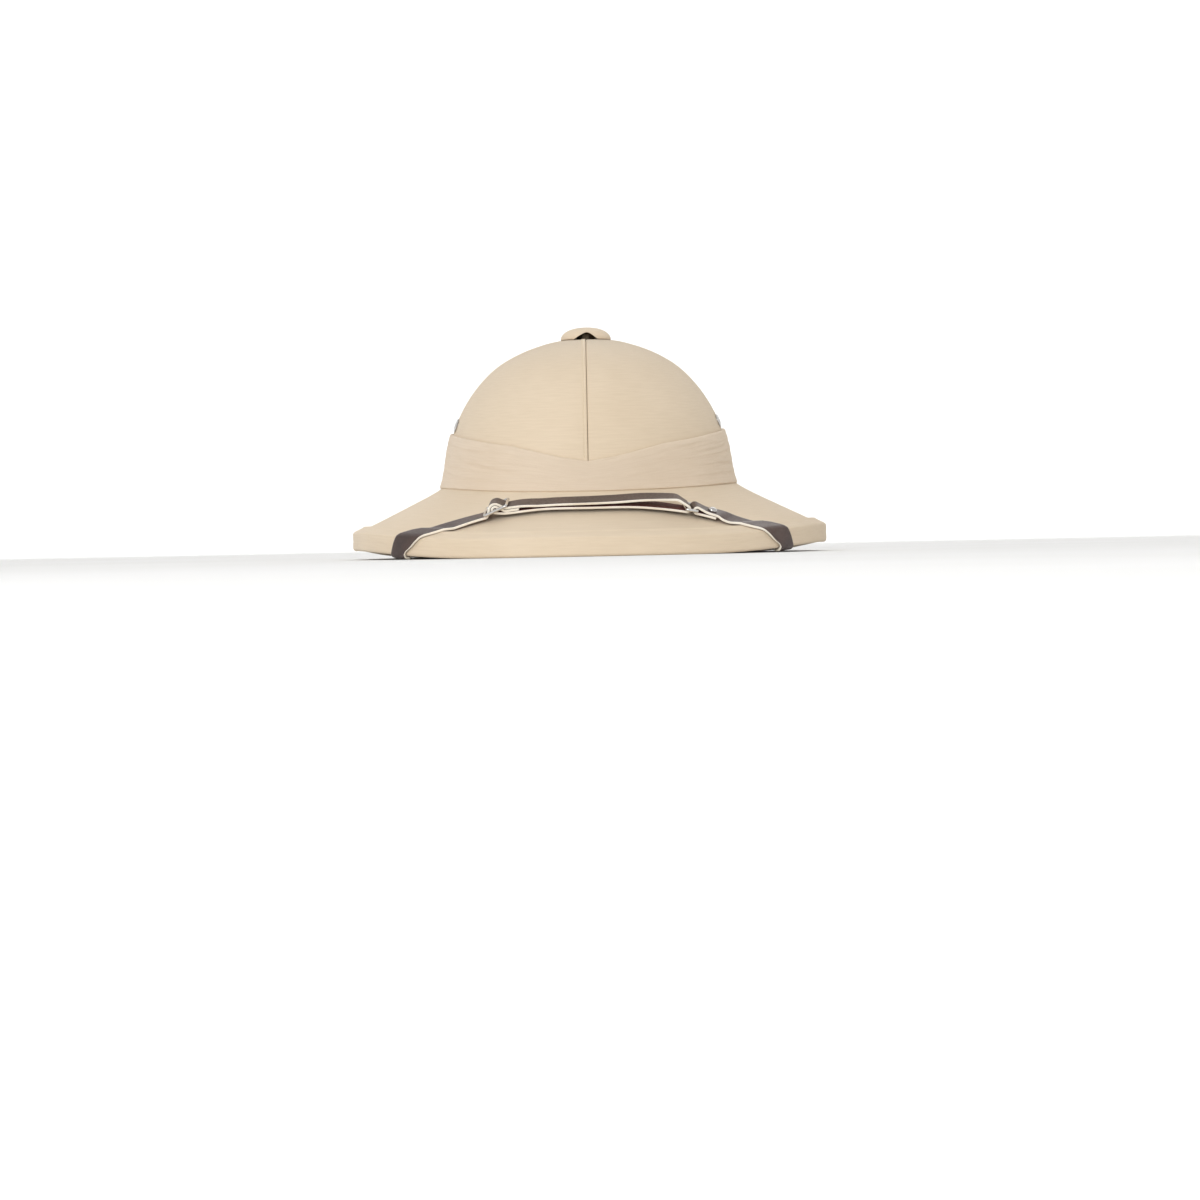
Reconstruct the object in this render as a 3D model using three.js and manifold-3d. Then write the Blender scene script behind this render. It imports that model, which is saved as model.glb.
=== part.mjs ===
// A pith helmet: moulded pith shell, cloth covers, pleated puggaree, ventilator button and chin strap.
// Millimetres, +Z up. The wearer faces -Y, and +X is the wearer's left. The origin is on the floor
// under the middle of the brim, and the helmet rests on the front and back of its rim.
import * as THREE from 'three';
import Module from 'manifold-3d';
import { mergeVertices } from 'three/addons/utils/BufferGeometryUtils.js';

const wasm = await Module();
wasm.setup();
const { Manifold, Mesh: SolidMesh } = wasm;

// Crown and brim
const CROWN_WIDTH = 184; // across the crown's foot, over the cover
const CROWN_LENGTH = 218; // front to back at the crown's foot
const CROWN_TOP = 136.5; // height of the crown's top above the floor
const FOOT_HEIGHT = 39.5; // where crown and brim meet, at front and back
const FOOT_SIDE_LIFT = 5; // how much higher they meet at the sides
const FOOT_FILLET = 4; // how far the turn from crown to brim reaches
const FRONT_BRIM = 52; // how far the brim stands out from the crown's foot
const SIDE_BRIM = 58;
const BACK_BRIM = 66;
const RIM_SIDE_LIFT = 5.5; // how much higher the rim is at the sides
const FRONT_LEVEL = 23; // degrees from the front where the rim starts to rise
const FRONT_RISEN = 75; // degrees from the front where it is at its full height
const BACK_LEVEL = 45; // the same, in degrees from the back
const BACK_RISEN = 85;
const BRIM_PITCH = 26; // usual slope of the brim in degrees, which turns its thickness into a height
const BRIM_DISH = 0.08; // how hollow the brim's slope is, as a share of its fall

// Layers
const CROWN_PITH = 6;
const BRIM_PITH = 5.5;
const COVER = 1;
const LINING = 1;
const BINDING = 1.2;
const GAP = 0.3; // between pieces that lie on each other
const BINDING_LAP = 6; // how far the binding reaches in over the brim, above and below
const BINDING_LAND = 2.4; // width of the flat that the rim stands on
const BINDING_CORNER = 1.2;

// Puggaree
const PUGGAREE_THICKNESS = 2.6;
const PUGGAREE_FRONT = 17.5; // height above the crown's foot at the front
const PUGGAREE_SIDE = 34.5; // height above the crown's foot at the sides and back
const PUGGAREE_SEAT = 0.9; // how far its lower edge stands off the brim
const PLEATS = 5;
const PLEAT_STEP = 0.8;

// Ventilator button
const VENT_BORE = 12;
const VENT_SEAT = 36; // diameter of the flattened seat on the crown's top
const SEAT_FALL = 0.8;
const CAP_DIAMETER = 32;
const CAP_HEIGHT = 8.2;
const CAP_WALL = 2;
const CAP_FULLNESS = 0.9; // below 1, the button's dome is fuller than an ellipse
const CAP_ARCH_WIDTH = 15;
const CAP_ARCH_HEIGHT = 4.5;
const POST_HEAD = 20;
const POST_HEAD_HEIGHT = 1.5;

// Eyelets
const EYELET_DIAMETER = 9;
const EYELET_HOLE = 4.5;
const EYELET_WALL = 0.7;
const EYELET_RISE = 1; // from the puggaree's top edge to the eyelet
const EYELET_SPREAD = 12; // degrees in front of and behind the side
const FLANGE_GAP = 0.45; // clears the crown's curve by a little more than the usual gap

// Straps and their metal
const STRAP_WIDTH = 12.5;
const STRAP_THICKNESS = 1.5;
const WIRE = 1.8;
const SLIDER_PLACE = -55; // along the strap from the middle of the front, to the slider's middle bar
const SLIDER_PITCH = 7; // from bar to bar
const SLIDER_TAIL = 14; // from the slider's middle bar to the tail's end
const RING_PLACE = 57.3; // along the strap to the ring's left bar
const RING_PITCH = 6.7;
const FOLD_TAIL = 14; // from the ring's right bar to the end of the short strap's fold
const RIVET_PLACE = 10; // from the ring's right bar to the rivet
const RIVET_HEAD = 5.6;
const RIVET_SHANK = 2.6;
const RIVET_DOME = 1.7;
const SEAT_EASE = 0.2; // how much further a rivet's head stands off the bent strap
const FRAME_ROOM = 0.6; // from the strap's edge to a metal frame's rail
const UNDER_ROOM = 0.7; // how much further the strap hangs clear under the brim
const RIM_ROOM = 0.4; // how much further the strap stands off the rim, outside and at its lower edge
const LAP_PASSED = 1.6; // laps in from the rim, to where the strap lies on the brim itself
const EDGE_STAND = 2.4; // how far the strap's edge nearer the rim stands off the brim
const RIGHT_REACH = 0.96; // how far round the strap goes on the wearer's right, as a share of the left

// Sides of round shapes
const STEPS = 36; // round the helmet
const CAP_SIDES = 20;
const POST_SIDES = 16;
const SMALL_SIDES = 10;
const WIRE_SIDES = 6;

// The crown's outline from its foot to the button's seat: how far up, and how far out it reaches there,
// as shares of the crown's rise and of its radius at the foot.
const CROWN_OUTLINE = [
  { rise: 0.12, reach: 0.974 },
  { rise: 0.28, reach: 0.947 },
  { rise: 0.44, reach: 0.899 },
  { rise: 0.58, reach: 0.828 },
  { rise: 0.71, reach: 0.731 },
  { rise: 0.82, reach: 0.615 },
  { rise: 0.91, reach: 0.458 },
  { rise: 0.967, reach: 0.3 },
];

// The puggaree's top edge: a V at the front that climbs to the full height at the sides.
// Degrees from the front, and share of the climb.
const PUGGAREE_TOP = [
  { azimuth: 0, climb: 0 },
  { azimuth: 9, climb: 0.15 },
  { azimuth: 18, climb: 0.36 },
  { azimuth: 27, climb: 0.55 },
  { azimuth: 54, climb: 0.78 },
  { azimuth: 90, climb: 1 },
  { azimuth: 180, climb: 1 },
];

// The strap's way over the helmet, from the middle of the front to its end inside.
// Degrees from the front, and place: 0 to 1 from the crown's foot to the rim, 1 to 2 down the rim's
// edge, 2 to 3 under the brim to the crown, 3 to 4 up inside the crown.
const STRAP_ROUTE = [
  { azimuth: 0, place: 0.31 },
  { azimuth: 14.4, place: 0.335 },
  { azimuth: 27.7, place: 0.51 },
  { azimuth: 36.3, place: 0.72 },
  { azimuth: 42.6, place: 0.93 },
  { azimuth: 46.3, place: 1.12 },
  { azimuth: 48.8, place: 1.45 },
  { azimuth: 50, place: 1.9 },
  { azimuth: 51.4, place: 2.14 },
  { azimuth: 55, place: 2.36 },
  { azimuth: 63, place: 2.6 },
  { azimuth: 74, place: 2.85 },
  { azimuth: 83, place: 3.06 },
  { azimuth: 90, place: 3.3 },
];

const PAPER = { color: 0xb9a992, roughness: 0.95, metalness: 0 };
const CLOTH = { color: 0xcbb593, roughness: 0.9, metalness: 0 };
const BAND_CLOTH = { color: 0xd2bea0, roughness: 0.9, metalness: 0 };
const LINING_CLOTH = { color: 0xc8b8ac, roughness: 0.9, metalness: 0 };
const LEATHER = { color: 0x5a4a42, roughness: 0.45, metalness: 0 };
const STEEL = { color: 0xc4c4c8, roughness: 0.28, metalness: 1 };

const rad = THREE.MathUtils.degToRad;
const SLANT = 1 / Math.cos(rad(BRIM_PITCH));
const CROWN_Y = (FRONT_BRIM - BACK_BRIM) / 2;
const CROWN_DEPTH = COVER + GAP; // from the cover's face to the pith
const BRIM_DEPTH = COVER + GAP + BRIM_PITH + GAP + LINING; // from the cover's face to the lining's
const EDGE_INSET = BINDING + GAP; // from the binding's face to what it wraps
const ON_STRAP = STRAP_THICKNESS + GAP; // from one layer of strap to the next
const BASE = GAP + STRAP_THICKNESS / 2; // middle of a strap that lies on the cloth
const NEAR_BAR = WIRE / 2 + GAP + STRAP_THICKNESS / 2; // middle of a strap round a bar

const helmet = new THREE.Group();

function addPiece(name, geometry, material) {
  geometry.computeVertexNormals();
  const piece = new THREE.Mesh(geometry, new THREE.MeshStandardMaterial(material));
  piece.name = name;
  helmet.add(piece);
  return piece;
}

// Curves of the plan and the section

const lerp = THREE.MathUtils.lerp;

function ellipseRadius(azimuth, across, along) {
  return 1 / Math.hypot(Math.sin(azimuth) / across, Math.cos(azimuth) / along);
}

function footRadius(azimuth) {
  return ellipseRadius(azimuth, CROWN_WIDTH / 2, CROWN_LENGTH / 2);
}

function rimRadius(azimuth) {
  const brim = Math.cos(azimuth) > 0 ? FRONT_BRIM : BACK_BRIM;
  return ellipseRadius(azimuth, CROWN_WIDTH / 2 + SIDE_BRIM, CROWN_LENGTH / 2 + brim);
}

function footHeight(azimuth) {
  return FOOT_HEIGHT + FOOT_SIDE_LIFT * Math.sin(azimuth) ** 2;
}

// The rim is level over an arc at the front and one at the back, and rises between them.
function rimHeight(azimuth) {
  const fromFront = Math.acos(Math.cos(azimuth));
  const front = THREE.MathUtils.smoothstep(fromFront, rad(FRONT_LEVEL), rad(FRONT_RISEN));
  const back = THREE.MathUtils.smoothstep(Math.PI - fromFront, rad(BACK_LEVEL), rad(BACK_RISEN));
  return RIM_SIDE_LIFT * Math.min(front, back);
}

// The rows of a rising table on either side of a value, and how far it lies between them.
function between(rows, key, at) {
  const above = rows.findIndex((row) => row[key] > at);
  const next = above < 0 ? rows.length - 1 : Math.max(above, 1);
  const [low, high] = [rows[next - 1], rows[next]];
  return { low, high, share: (at - low[key]) / (high[key] - low[key]) };
}

function tableValue(rows, key, value, at) {
  const { low, high, share } = between(rows, key, at);
  return lerp(low[value], high[value], share);
}

// The upper face of the brim at a share of its width, in the plane of one azimuth.
function brimTop(azimuth, share) {
  const foot = footHeight(azimuth);
  const rim = rimHeight(azimuth) + (BRIM_DEPTH + EDGE_INSET) * SLANT;
  const inner = footRadius(azimuth);
  const fall = share + BRIM_DISH * share * (1 - share);
  const r = lerp(inner, rimRadius(azimuth) - EDGE_INSET, share);
  return new THREE.Vector2(r, lerp(foot, rim, fall));
}

function crownOuter(azimuth, row) {
  const foot = footHeight(azimuth);
  return new THREE.Vector2(row.reach * footRadius(azimuth), lerp(foot, CROWN_TOP, row.rise));
}

// The face of the cloth in the plane of one azimuth, from the ventilator's bore to the rim.
const SEAM = CROWN_OUTLINE.length + 3; // station of the joint between crown cover and brim cover
const BRIM_SHARES = [0.5, 1];

function clothOutline(azimuth) {
  const rows = [...CROWN_OUTLINE].reverse();
  const foot = footHeight(azimuth);
  const edge = footRadius(azimuth);
  const fillet = FOOT_FILLET / (rimRadius(azimuth) - edge);
  const above = new THREE.Vector2(
    edge * lerp(1, CROWN_OUTLINE[0].reach, FOOT_FILLET / (CROWN_OUTLINE[0].rise * (CROWN_TOP - foot))),
    foot + FOOT_FILLET,
  );
  const beyond = brimTop(azimuth, fillet);
  const corner = new THREE.Vector2(edge, foot);
  const turn = above.clone().add(beyond).add(corner.clone().multiplyScalar(2)).divideScalar(4);
  return [
    new THREE.Vector2(VENT_BORE / 2 + GAP, CROWN_TOP),
    new THREE.Vector2(VENT_SEAT / 2, CROWN_TOP - SEAT_FALL),
    ...rows.map((row) => crownOuter(azimuth, row)),
    above,
    above.clone().lerp(turn, GAP / above.distanceTo(turn)),
    turn,
    beyond,
    ...BRIM_SHARES.map((share) => brimTop(azimuth, share)),
  ];
}

// Unit normals of an outline, pointing out of the helmet.
function normalsOf(outline) {
  return outline.map((point, i) => {
    const before = outline[Math.max(i - 1, 0)];
    const after = outline[Math.min(i + 1, outline.length - 1)];
    const one = point.clone().sub(before).normalize();
    const two = after.clone().sub(point).normalize();
    const along = one.add(two);
    return new THREE.Vector2(-along.y, along.x).normalize();
  });
}

// The outline moved inwards by a depth. Its last point moves straight down, so that the rim is upright.
function outlineAt(azimuth, depth) {
  const outline = clothOutline(azimuth);
  const normals = normalsOf(outline);
  return outline.map((point, i) => {
    if (i === outline.length - 1) return new THREE.Vector2(point.x, point.y - depth * SLANT);
    if (i === 0) return new THREE.Vector2(point.x, point.y - depth);
    return point.clone().addScaledVector(normals[i], -depth);
  });
}

function inSpace(azimuth, point) {
  return new THREE.Vector3(
    point.x * Math.sin(azimuth),
    CROWN_Y - point.x * Math.cos(azimuth),
    point.y,
  );
}

// Solids

function signedVolume(points, index) {
  let sum = 0;
  for (let i = 0; i < index.length; i += 3) {
    const [a, b, c] = [points[index[i]], points[index[i + 1]], points[index[i + 2]]];
    sum += a.dot(new THREE.Vector3().crossVectors(b, c)) / 6;
  }
  return sum;
}

function closedGeometry(points, index) {
  const outward = signedVolume(points, index) < 0 ? [...index].reverse() : index;
  const numbers = points.flatMap((point) => point.toArray());
  const geometry = new THREE.BufferGeometry();
  geometry.setAttribute('position', new THREE.Float32BufferAttribute(numbers, 3));
  geometry.setIndex(outward);
  return geometry;
}

// A solid through sections of the same even number of points, the second half of each running back
// beside the first. A looped sweep closes on itself, and an open one gets ends. Both faces split
// their quads along the same diagonal, so that nested pieces keep an even gap.
function sweep(sections, looped) {
  const count = sections[0].length;
  const index = [];
  const spans = looped ? sections.length : sections.length - 1;
  for (let i = 0; i < spans; i++) {
    const next = ((i + 1) % sections.length) * count;
    for (let j = 0; j < count; j++) {
      const k = (j + 1) % count;
      const [a, b, c, d] = [i * count + j, i * count + k, next + k, next + j];
      index.push(...(j < count / 2 ? [a, b, c, a, c, d] : [a, b, d, b, c, d]));
    }
  }
  if (!looped) {
    const end = (sections.length - 1) * count;
    for (let j = 0; j < count / 2 - 1; j++) {
      const [a, b, c, d] = [j, j + 1, count - 2 - j, count - 1 - j];
      index.push(a, c, b, a, d, c, end + a, end + b, end + c, end + a, end + c, end + d);
    }
  }
  return closedGeometry(sections.flat(), index);
}

function azimuths(from = 0, to = 2 * Math.PI, steps = STEPS) {
  return Array.from({ length: steps + 1 }, (_, i) => lerp(from, to, i / steps));
}

function ringOf(sectionAt) {
  const turns = azimuths().slice(0, -1);
  return sweep(turns.map((turn) => sectionAt(turn).map((point) => inSpace(turn, point))), true);
}

// The stations of a layer of cloth or pith, between two depths under the cloth's face.
function layer(azimuth, outer, inner, first, last) {
  const out = outlineAt(azimuth, outer).slice(first, last);
  const back = outlineAt(azimuth, inner).slice(first, last).reverse();
  return [...out, ...back];
}

function toSolid(geometry) {
  let bare = geometry.clone();
  bare.deleteAttribute('normal');
  bare.deleteAttribute('uv');
  bare = mergeVertices(bare, 1e-3);
  return new Manifold(new SolidMesh({
    numProp: 3,
    vertProperties: new Float32Array(bare.attributes.position.array),
    triVerts: new Uint32Array(bare.index.array),
  }));
}

function toGeometry(solid) {
  const mesh = solid.getMesh();
  const geometry = new THREE.BufferGeometry();
  geometry.setAttribute('position', new THREE.BufferAttribute(mesh.vertProperties, 3));
  geometry.setIndex(new THREE.BufferAttribute(mesh.triVerts, 1));
  return geometry;
}

function carve(geometry, cutters) {
  const whole = toSolid(geometry);
  return toGeometry(cutters.reduce((solid, cutter) => solid.subtract(toSolid(cutter)), whole));
}

function join(geometries) {
  return toGeometry(geometries.map(toSolid).reduce((all, solid) => all.add(solid)));
}

function lathe(outline, sides) {
  return new THREE.LatheGeometry(outline.map(([r, z]) => new THREE.Vector2(r, z)), sides);
}

function rod(from, to, radius, sides) {
  const axis = to.clone().sub(from);
  const geometry = new THREE.CylinderGeometry(radius, radius, axis.length(), sides);
  const turn = new THREE.Quaternion().setFromUnitVectors(new THREE.Vector3(0, 1, 0), axis.normalize());
  geometry.applyQuaternion(turn);
  const middle = from.clone().lerp(to, 0.5);
  return geometry.translate(middle.x, middle.y, middle.z);
}

// Eyelets

function crownFace(azimuth, height) {
  const foot = footHeight(azimuth);
  const rise = (height - foot) / (CROWN_TOP - foot);
  return footRadius(azimuth) * tableValue([{ rise: 0, reach: 1 }, ...CROWN_OUTLINE], 'rise', 'reach', rise);
}

function puggareeTop(azimuth) {
  const fromFront = THREE.MathUtils.radToDeg(Math.acos(Math.cos(azimuth)));
  const climb = tableValue(PUGGAREE_TOP, 'azimuth', 'climb', fromFront);
  return footHeight(azimuth) + lerp(PUGGAREE_FRONT, PUGGAREE_SIDE, climb);
}

// Where an eyelet sits: the middle of its hole on the cover's face, and the way it points.
function eyeletSeat(azimuth) {
  const height = puggareeTop(azimuth) + EYELET_RISE + EYELET_DIAMETER / 2;
  const at = (turn, rise) => inSpace(azimuth + turn, new THREE.Vector2(
    crownFace(azimuth + turn, height + rise),
    height + rise,
  ));
  const swing = EYELET_HOLE / CROWN_WIDTH;
  const across = at(swing, 0).sub(at(-swing, 0));
  const up = at(0, EYELET_HOLE).sub(at(0, -EYELET_HOLE));
  return { place: at(0, 0), outward: across.cross(up).normalize() };
}

const EYELETS = [
  { name: 'eyelet_right_front', azimuth: rad(-90 + EYELET_SPREAD) },
  { name: 'eyelet_right_back', azimuth: rad(-90 - EYELET_SPREAD) },
  { name: 'eyelet_left_front', azimuth: rad(90 - EYELET_SPREAD) },
  { name: 'eyelet_left_back', azimuth: rad(90 + EYELET_SPREAD) },
].map((row) => ({ ...row, ...eyeletSeat(row.azimuth) }));

const BARREL = EYELET_HOLE / 2 + EYELET_WALL;

function eyeletGeometry() {
  const flange = EYELET_DIAMETER / 2;
  const end = CROWN_DEPTH + CROWN_PITH;
  const outline = [
    [EYELET_HOLE / 2, -end],
    [BARREL, -end],
    [BARREL, FLANGE_GAP],
    [flange, FLANGE_GAP],
    [flange - EYELET_WALL / 2, FLANGE_GAP + EYELET_WALL],
    [EYELET_HOLE / 2 + EYELET_WALL / 2, FLANGE_GAP + EYELET_WALL],
    [EYELET_HOLE / 2, FLANGE_GAP],
    [EYELET_HOLE / 2, -end],
  ];
  return lathe(outline, SMALL_SIDES);
}

function eyeletCutters() {
  const reach = 2 * (CROWN_DEPTH + CROWN_PITH);
  return EYELETS.map(({ place, outward }) => rod(
    place.clone().addScaledVector(outward, -reach),
    place.clone().addScaledVector(outward, reach),
    BARREL + GAP,
    SMALL_SIDES,
  ));
}

function addEyelets() {
  for (const { name, place, outward } of EYELETS) {
    const piece = addPiece(name, eyeletGeometry(), STEEL);
    piece.position.copy(place);
    piece.quaternion.setFromUnitVectors(new THREE.Vector3(0, 1, 0), outward);
  }
}

// Shell and cloth

function addShell(cutters) {
  const section = (azimuth) => {
    const out = outlineAt(azimuth, CROWN_DEPTH);
    const inner = outlineAt(azimuth, CROWN_DEPTH + CROWN_PITH);
    const under = outlineAt(azimuth, CROWN_DEPTH + BRIM_PITH);
    const back = out.map((_, i) => (i < SEAM ? inner[i] : under[i]));
    [out, back].forEach((face) => face.splice(SEAM, 1));
    return [...out, ...back.reverse()];
  };
  addPiece('shell', carve(ringOf(section), cutters), PAPER);
}

// Each panel of the crown's cover stops half a gap short of the seam's plane.
function addCrownCovers(cutters) {
  for (const [name, side] of [['crown_cover_left', 1], ['crown_cover_right', -1]]) {
    const sections = azimuths(0, Math.PI, STEPS / 2).map((turn, i, all) => {
      const azimuth = side * turn;
      return layer(azimuth, 0, COVER, 0, SEAM).map((point) => {
        const place = inSpace(azimuth, point);
        if (i === 0 || i === all.length - 1) place.x = side * GAP / 2;
        return place;
      });
    });
    addPiece(name, carve(sweep(sections, false), cutters), CLOTH);
  }
}

function addBrimCover() {
  addPiece('brim_cover', ringOf((azimuth) => layer(azimuth, 0, COVER, SEAM)), CLOTH);
}

function addBrimLining() {
  const section = (azimuth) => layer(azimuth, BRIM_DEPTH - LINING, BRIM_DEPTH, SEAM + 1);
  addPiece('brim_lining', ringOf(section), LINING_CLOTH);
}

// A point on a face of the brim, a given way in from the binding's face and off that face.
function brimFace(azimuth, depth, inset, off) {
  const outline = outlineAt(azimuth, depth);
  const rim = rimRadius(azimuth);
  const last = outline[outline.length - 1];
  const before = outline[outline.length - 2];
  const r = rim - inset;
  const height = lerp(last.y, before.y, (last.x - r) / (last.x - before.x));
  return new THREE.Vector2(r, height + off * SLANT);
}

// Corners of the binding's outer face in one section, from the top lap's end round to the lower lap's.
function bindingFace(azimuth) {
  const rim = rimRadius(azimuth);
  const floor = rimHeight(azimuth);
  const top = brimFace(azimuth, 0, EDGE_INSET, EDGE_INSET).y;
  return [
    brimFace(azimuth, 0, EDGE_INSET + BINDING_LAP, EDGE_INSET),
    new THREE.Vector2(rim - BINDING_CORNER, top - (EDGE_INSET - BINDING_CORNER) * Math.tan(rad(BRIM_PITCH))),
    new THREE.Vector2(rim, top - BINDING_CORNER),
    new THREE.Vector2(rim, floor + BINDING_CORNER),
    new THREE.Vector2(rim - BINDING_CORNER, floor),
    new THREE.Vector2(rim - BINDING_CORNER - BINDING_LAND, floor),
    brimFace(azimuth, BRIM_DEPTH, EDGE_INSET + BINDING_LAP, -EDGE_INSET),
  ];
}

function addEdgeBinding() {
  addPiece('edge_binding', ringOf((azimuth) => {
    const edge = rimRadius(azimuth) - BINDING;
    const outer = bindingFace(azimuth);
    const upper = brimFace(azimuth, 0, EDGE_INSET, GAP).y;
    const lower = brimFace(azimuth, BRIM_DEPTH, EDGE_INSET, -GAP).y;
    const inner = [
      brimFace(azimuth, BRIM_DEPTH, EDGE_INSET + BINDING_LAP, -GAP),
      new THREE.Vector2(edge - GAP, lower),
      new THREE.Vector2(edge, lower + GAP),
      new THREE.Vector2(edge, (lower + upper) / 2),
      new THREE.Vector2(edge, upper - GAP),
      new THREE.Vector2(edge - GAP, upper),
      brimFace(azimuth, 0, EDGE_INSET + BINDING_LAP, GAP),
    ];
    return [...outer, ...inner];
  }), CLOTH);
}

// The band's folds overlap like boards: each is proud at its lower edge and tucks under the next.
function puggareeSection(azimuth) {
  const out = GAP + PUGGAREE_THICKNESS;
  const seat = brimTop(azimuth, out / (rimRadius(azimuth) - footRadius(azimuth)));
  const bottom = seat.y + PUGGAREE_SEAT * SLANT;
  const top = puggareeTop(azimuth);
  const face = (height, off) => new THREE.Vector2(crownFace(azimuth, height) + off, height);
  const outer = Array.from({ length: PLEATS }, (_, i) => {
    const low = lerp(bottom, top, i / PLEATS);
    const high = lerp(bottom, top, (i + 1) / PLEATS);
    return [face(low, out), face(high, out - PLEAT_STEP)];
  }).flat();
  const rows = clothOutline(azimuth).slice(SEAM - 3, SEAM).map((row) => row.y).reverse();
  const inner = [bottom + FOOT_FILLET + GAP, rows[1], rows[2], top];
  const back = inner.map((height, i) => face(Math.min(height, top - (3 - i) * PLEAT_STEP), GAP));
  return [...outer, ...back.reverse()];
}

function addPuggaree() {
  addPiece('puggaree', ringOf(puggareeSection), BAND_CLOTH);
}

// Ventilator button

// How far the seat has fallen at a diameter. The button's wall stands on it.
function seatDrop(diameter) {
  return SEAT_FALL * (diameter - VENT_BORE) / (VENT_SEAT - VENT_BORE);
}

const CAP_BASE = CROWN_TOP + GAP - seatDrop(CAP_DIAMETER - 2 * CAP_WALL);

function domeOutline(radius, height) {
  const parts = 6;
  return Array.from({ length: parts + 1 }, (_, i) => {
    const angle = (i / parts) * Math.PI / 2;
    const r = i < parts ? radius * Math.cos(angle) ** CAP_FULLNESS : 0;
    return new THREE.Vector2(r, height * Math.sin(angle) ** CAP_FULLNESS);
  });
}

function addVentCap() {
  const outer = domeOutline(CAP_DIAMETER / 2, CAP_HEIGHT);
  const inner = domeOutline(CAP_DIAMETER / 2 - CAP_WALL, CAP_HEIGHT - CAP_WALL).reverse();
  const dome = new THREE.LatheGeometry([...inner, ...outer], CAP_SIDES).rotateX(Math.PI / 2);
  const half = CAP_ARCH_WIDTH / 2;
  const arch = new THREE.Shape();
  arch.moveTo(-half, -1);
  arch.lineTo(half, -1);
  arch.absellipse(0, 0, half, CAP_ARCH_HEIGHT, 0, Math.PI);
  const options = { depth: CAP_DIAMETER, bevelEnabled: false, curveSegments: 8 };
  const tunnel = new THREE.ExtrudeGeometry(arch, options);
  tunnel.rotateX(Math.PI / 2);
  const cap = addPiece('vent_cap', carve(dome, [tunnel]), CLOTH);
  cap.position.set(0, CROWN_Y, CAP_BASE);
}

function addVentPost() {
  const under = CROWN_TOP - CROWN_DEPTH - CROWN_PITH - GAP - seatDrop(POST_HEAD);
  const roof = CAP_BASE + CAP_HEIGHT - CAP_WALL - 2 * GAP;
  const shank = VENT_BORE / 2 - GAP;
  const outline = [
    [0, under - POST_HEAD_HEIGHT],
    [POST_HEAD / 2, under - POST_HEAD_HEIGHT],
    [POST_HEAD / 2, under],
    [shank, under],
    [shank, roof - CAP_WALL],
    [shank - CAP_WALL, roof],
    [0, roof],
  ];
  const post = lathe(outline, POST_SIDES).rotateX(Math.PI / 2);
  addPiece('vent_post', post, STEEL).position.set(0, CROWN_Y, 0);
}

// The strap's ground: the outermost faces of the helmet in one section, from the crown's foot over the
// brim and its rim, back under the brim and up inside the crown. Corners count the places.
function groundOutline(azimuth) {
  const top = outlineAt(azimuth, 0).slice(SEAM + 2, -1);
  const under = outlineAt(azimuth, BRIM_DEPTH + UNDER_ROOM).slice(2, -1).reverse();
  const [lapTop, ...edge] = bindingFace(azimuth);
  const lapUnder = edge.pop();
  const toeInside = edge[edge.length - 1];
  edge.filter((point) => point !== toeInside).forEach((point) => {
    point.x += RIM_ROOM;
  });
  toeInside.y -= RIM_ROOM;
  lapUnder.y -= RIM_ROOM;
  const inset = EDGE_INSET + LAP_PASSED * BINDING_LAP;
  const points = [
    ...top.filter((point) => point.x < lapTop.x - BINDING_LAP),
    brimFace(azimuth, 0, inset, 0),
    lapTop,
    ...edge,
    lapUnder,
    brimFace(azimuth, BRIM_DEPTH + UNDER_ROOM, inset, 0),
    ...under.filter((point) => point.x < lapUnder.x - BINDING_LAP),
  ];
  const lengths = [0];
  for (let i = 1; i < points.length; i++) {
    lengths.push(lengths[i - 1] + points[i].distanceTo(points[i - 1]));
  }
  const crest = points.indexOf(edge[0]);
  const toe = points.indexOf(toeInside);
  const corner = points.indexOf(under.find((point) => point.y > footHeight(azimuth)));
  const start = lengths[crest];
  const along = lengths.map((length) => length - start);
  const marks = [along[0], 0, along[toe], along[corner], along[points.length - 1]];
  const normals = normalsOf(points);
  return { rows: points.map((point, i) => ({ point, normal: normals[i], along: along[i] })), marks };
}

function placeToLength(azimuth, place) {
  const { marks } = groundOutline(azimuth);
  const whole = Math.min(Math.floor(place), marks.length - 2);
  return lerp(marks[whole], marks[whole + 1], place - whole);
}

// A point a height above the ground, at a length along its section from the rim's top corner.
function abovePoint(azimuth, length, height) {
  const { rows } = groundOutline(azimuth);
  const { low, high, share } = between(rows, 'along', length);
  const point = low.point.clone().lerp(high.point, share);
  const normal = low.normal.clone().lerp(high.normal, share).normalize();
  return inSpace(azimuth, point.addScaledVector(normal, height));
}

// The middle line of the strap on the ground: points with their distance from the front's middle, and
// with how azimuth and length change for each millimetre across the strap.
const ROUTE_STEP = 1;
const ROUTE_SMOOTHING = 3; // samples on either side that set the strap's direction
const AZIMUTH_SCALE = 150; // turns azimuth into about millimetres, for an even spline

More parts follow.
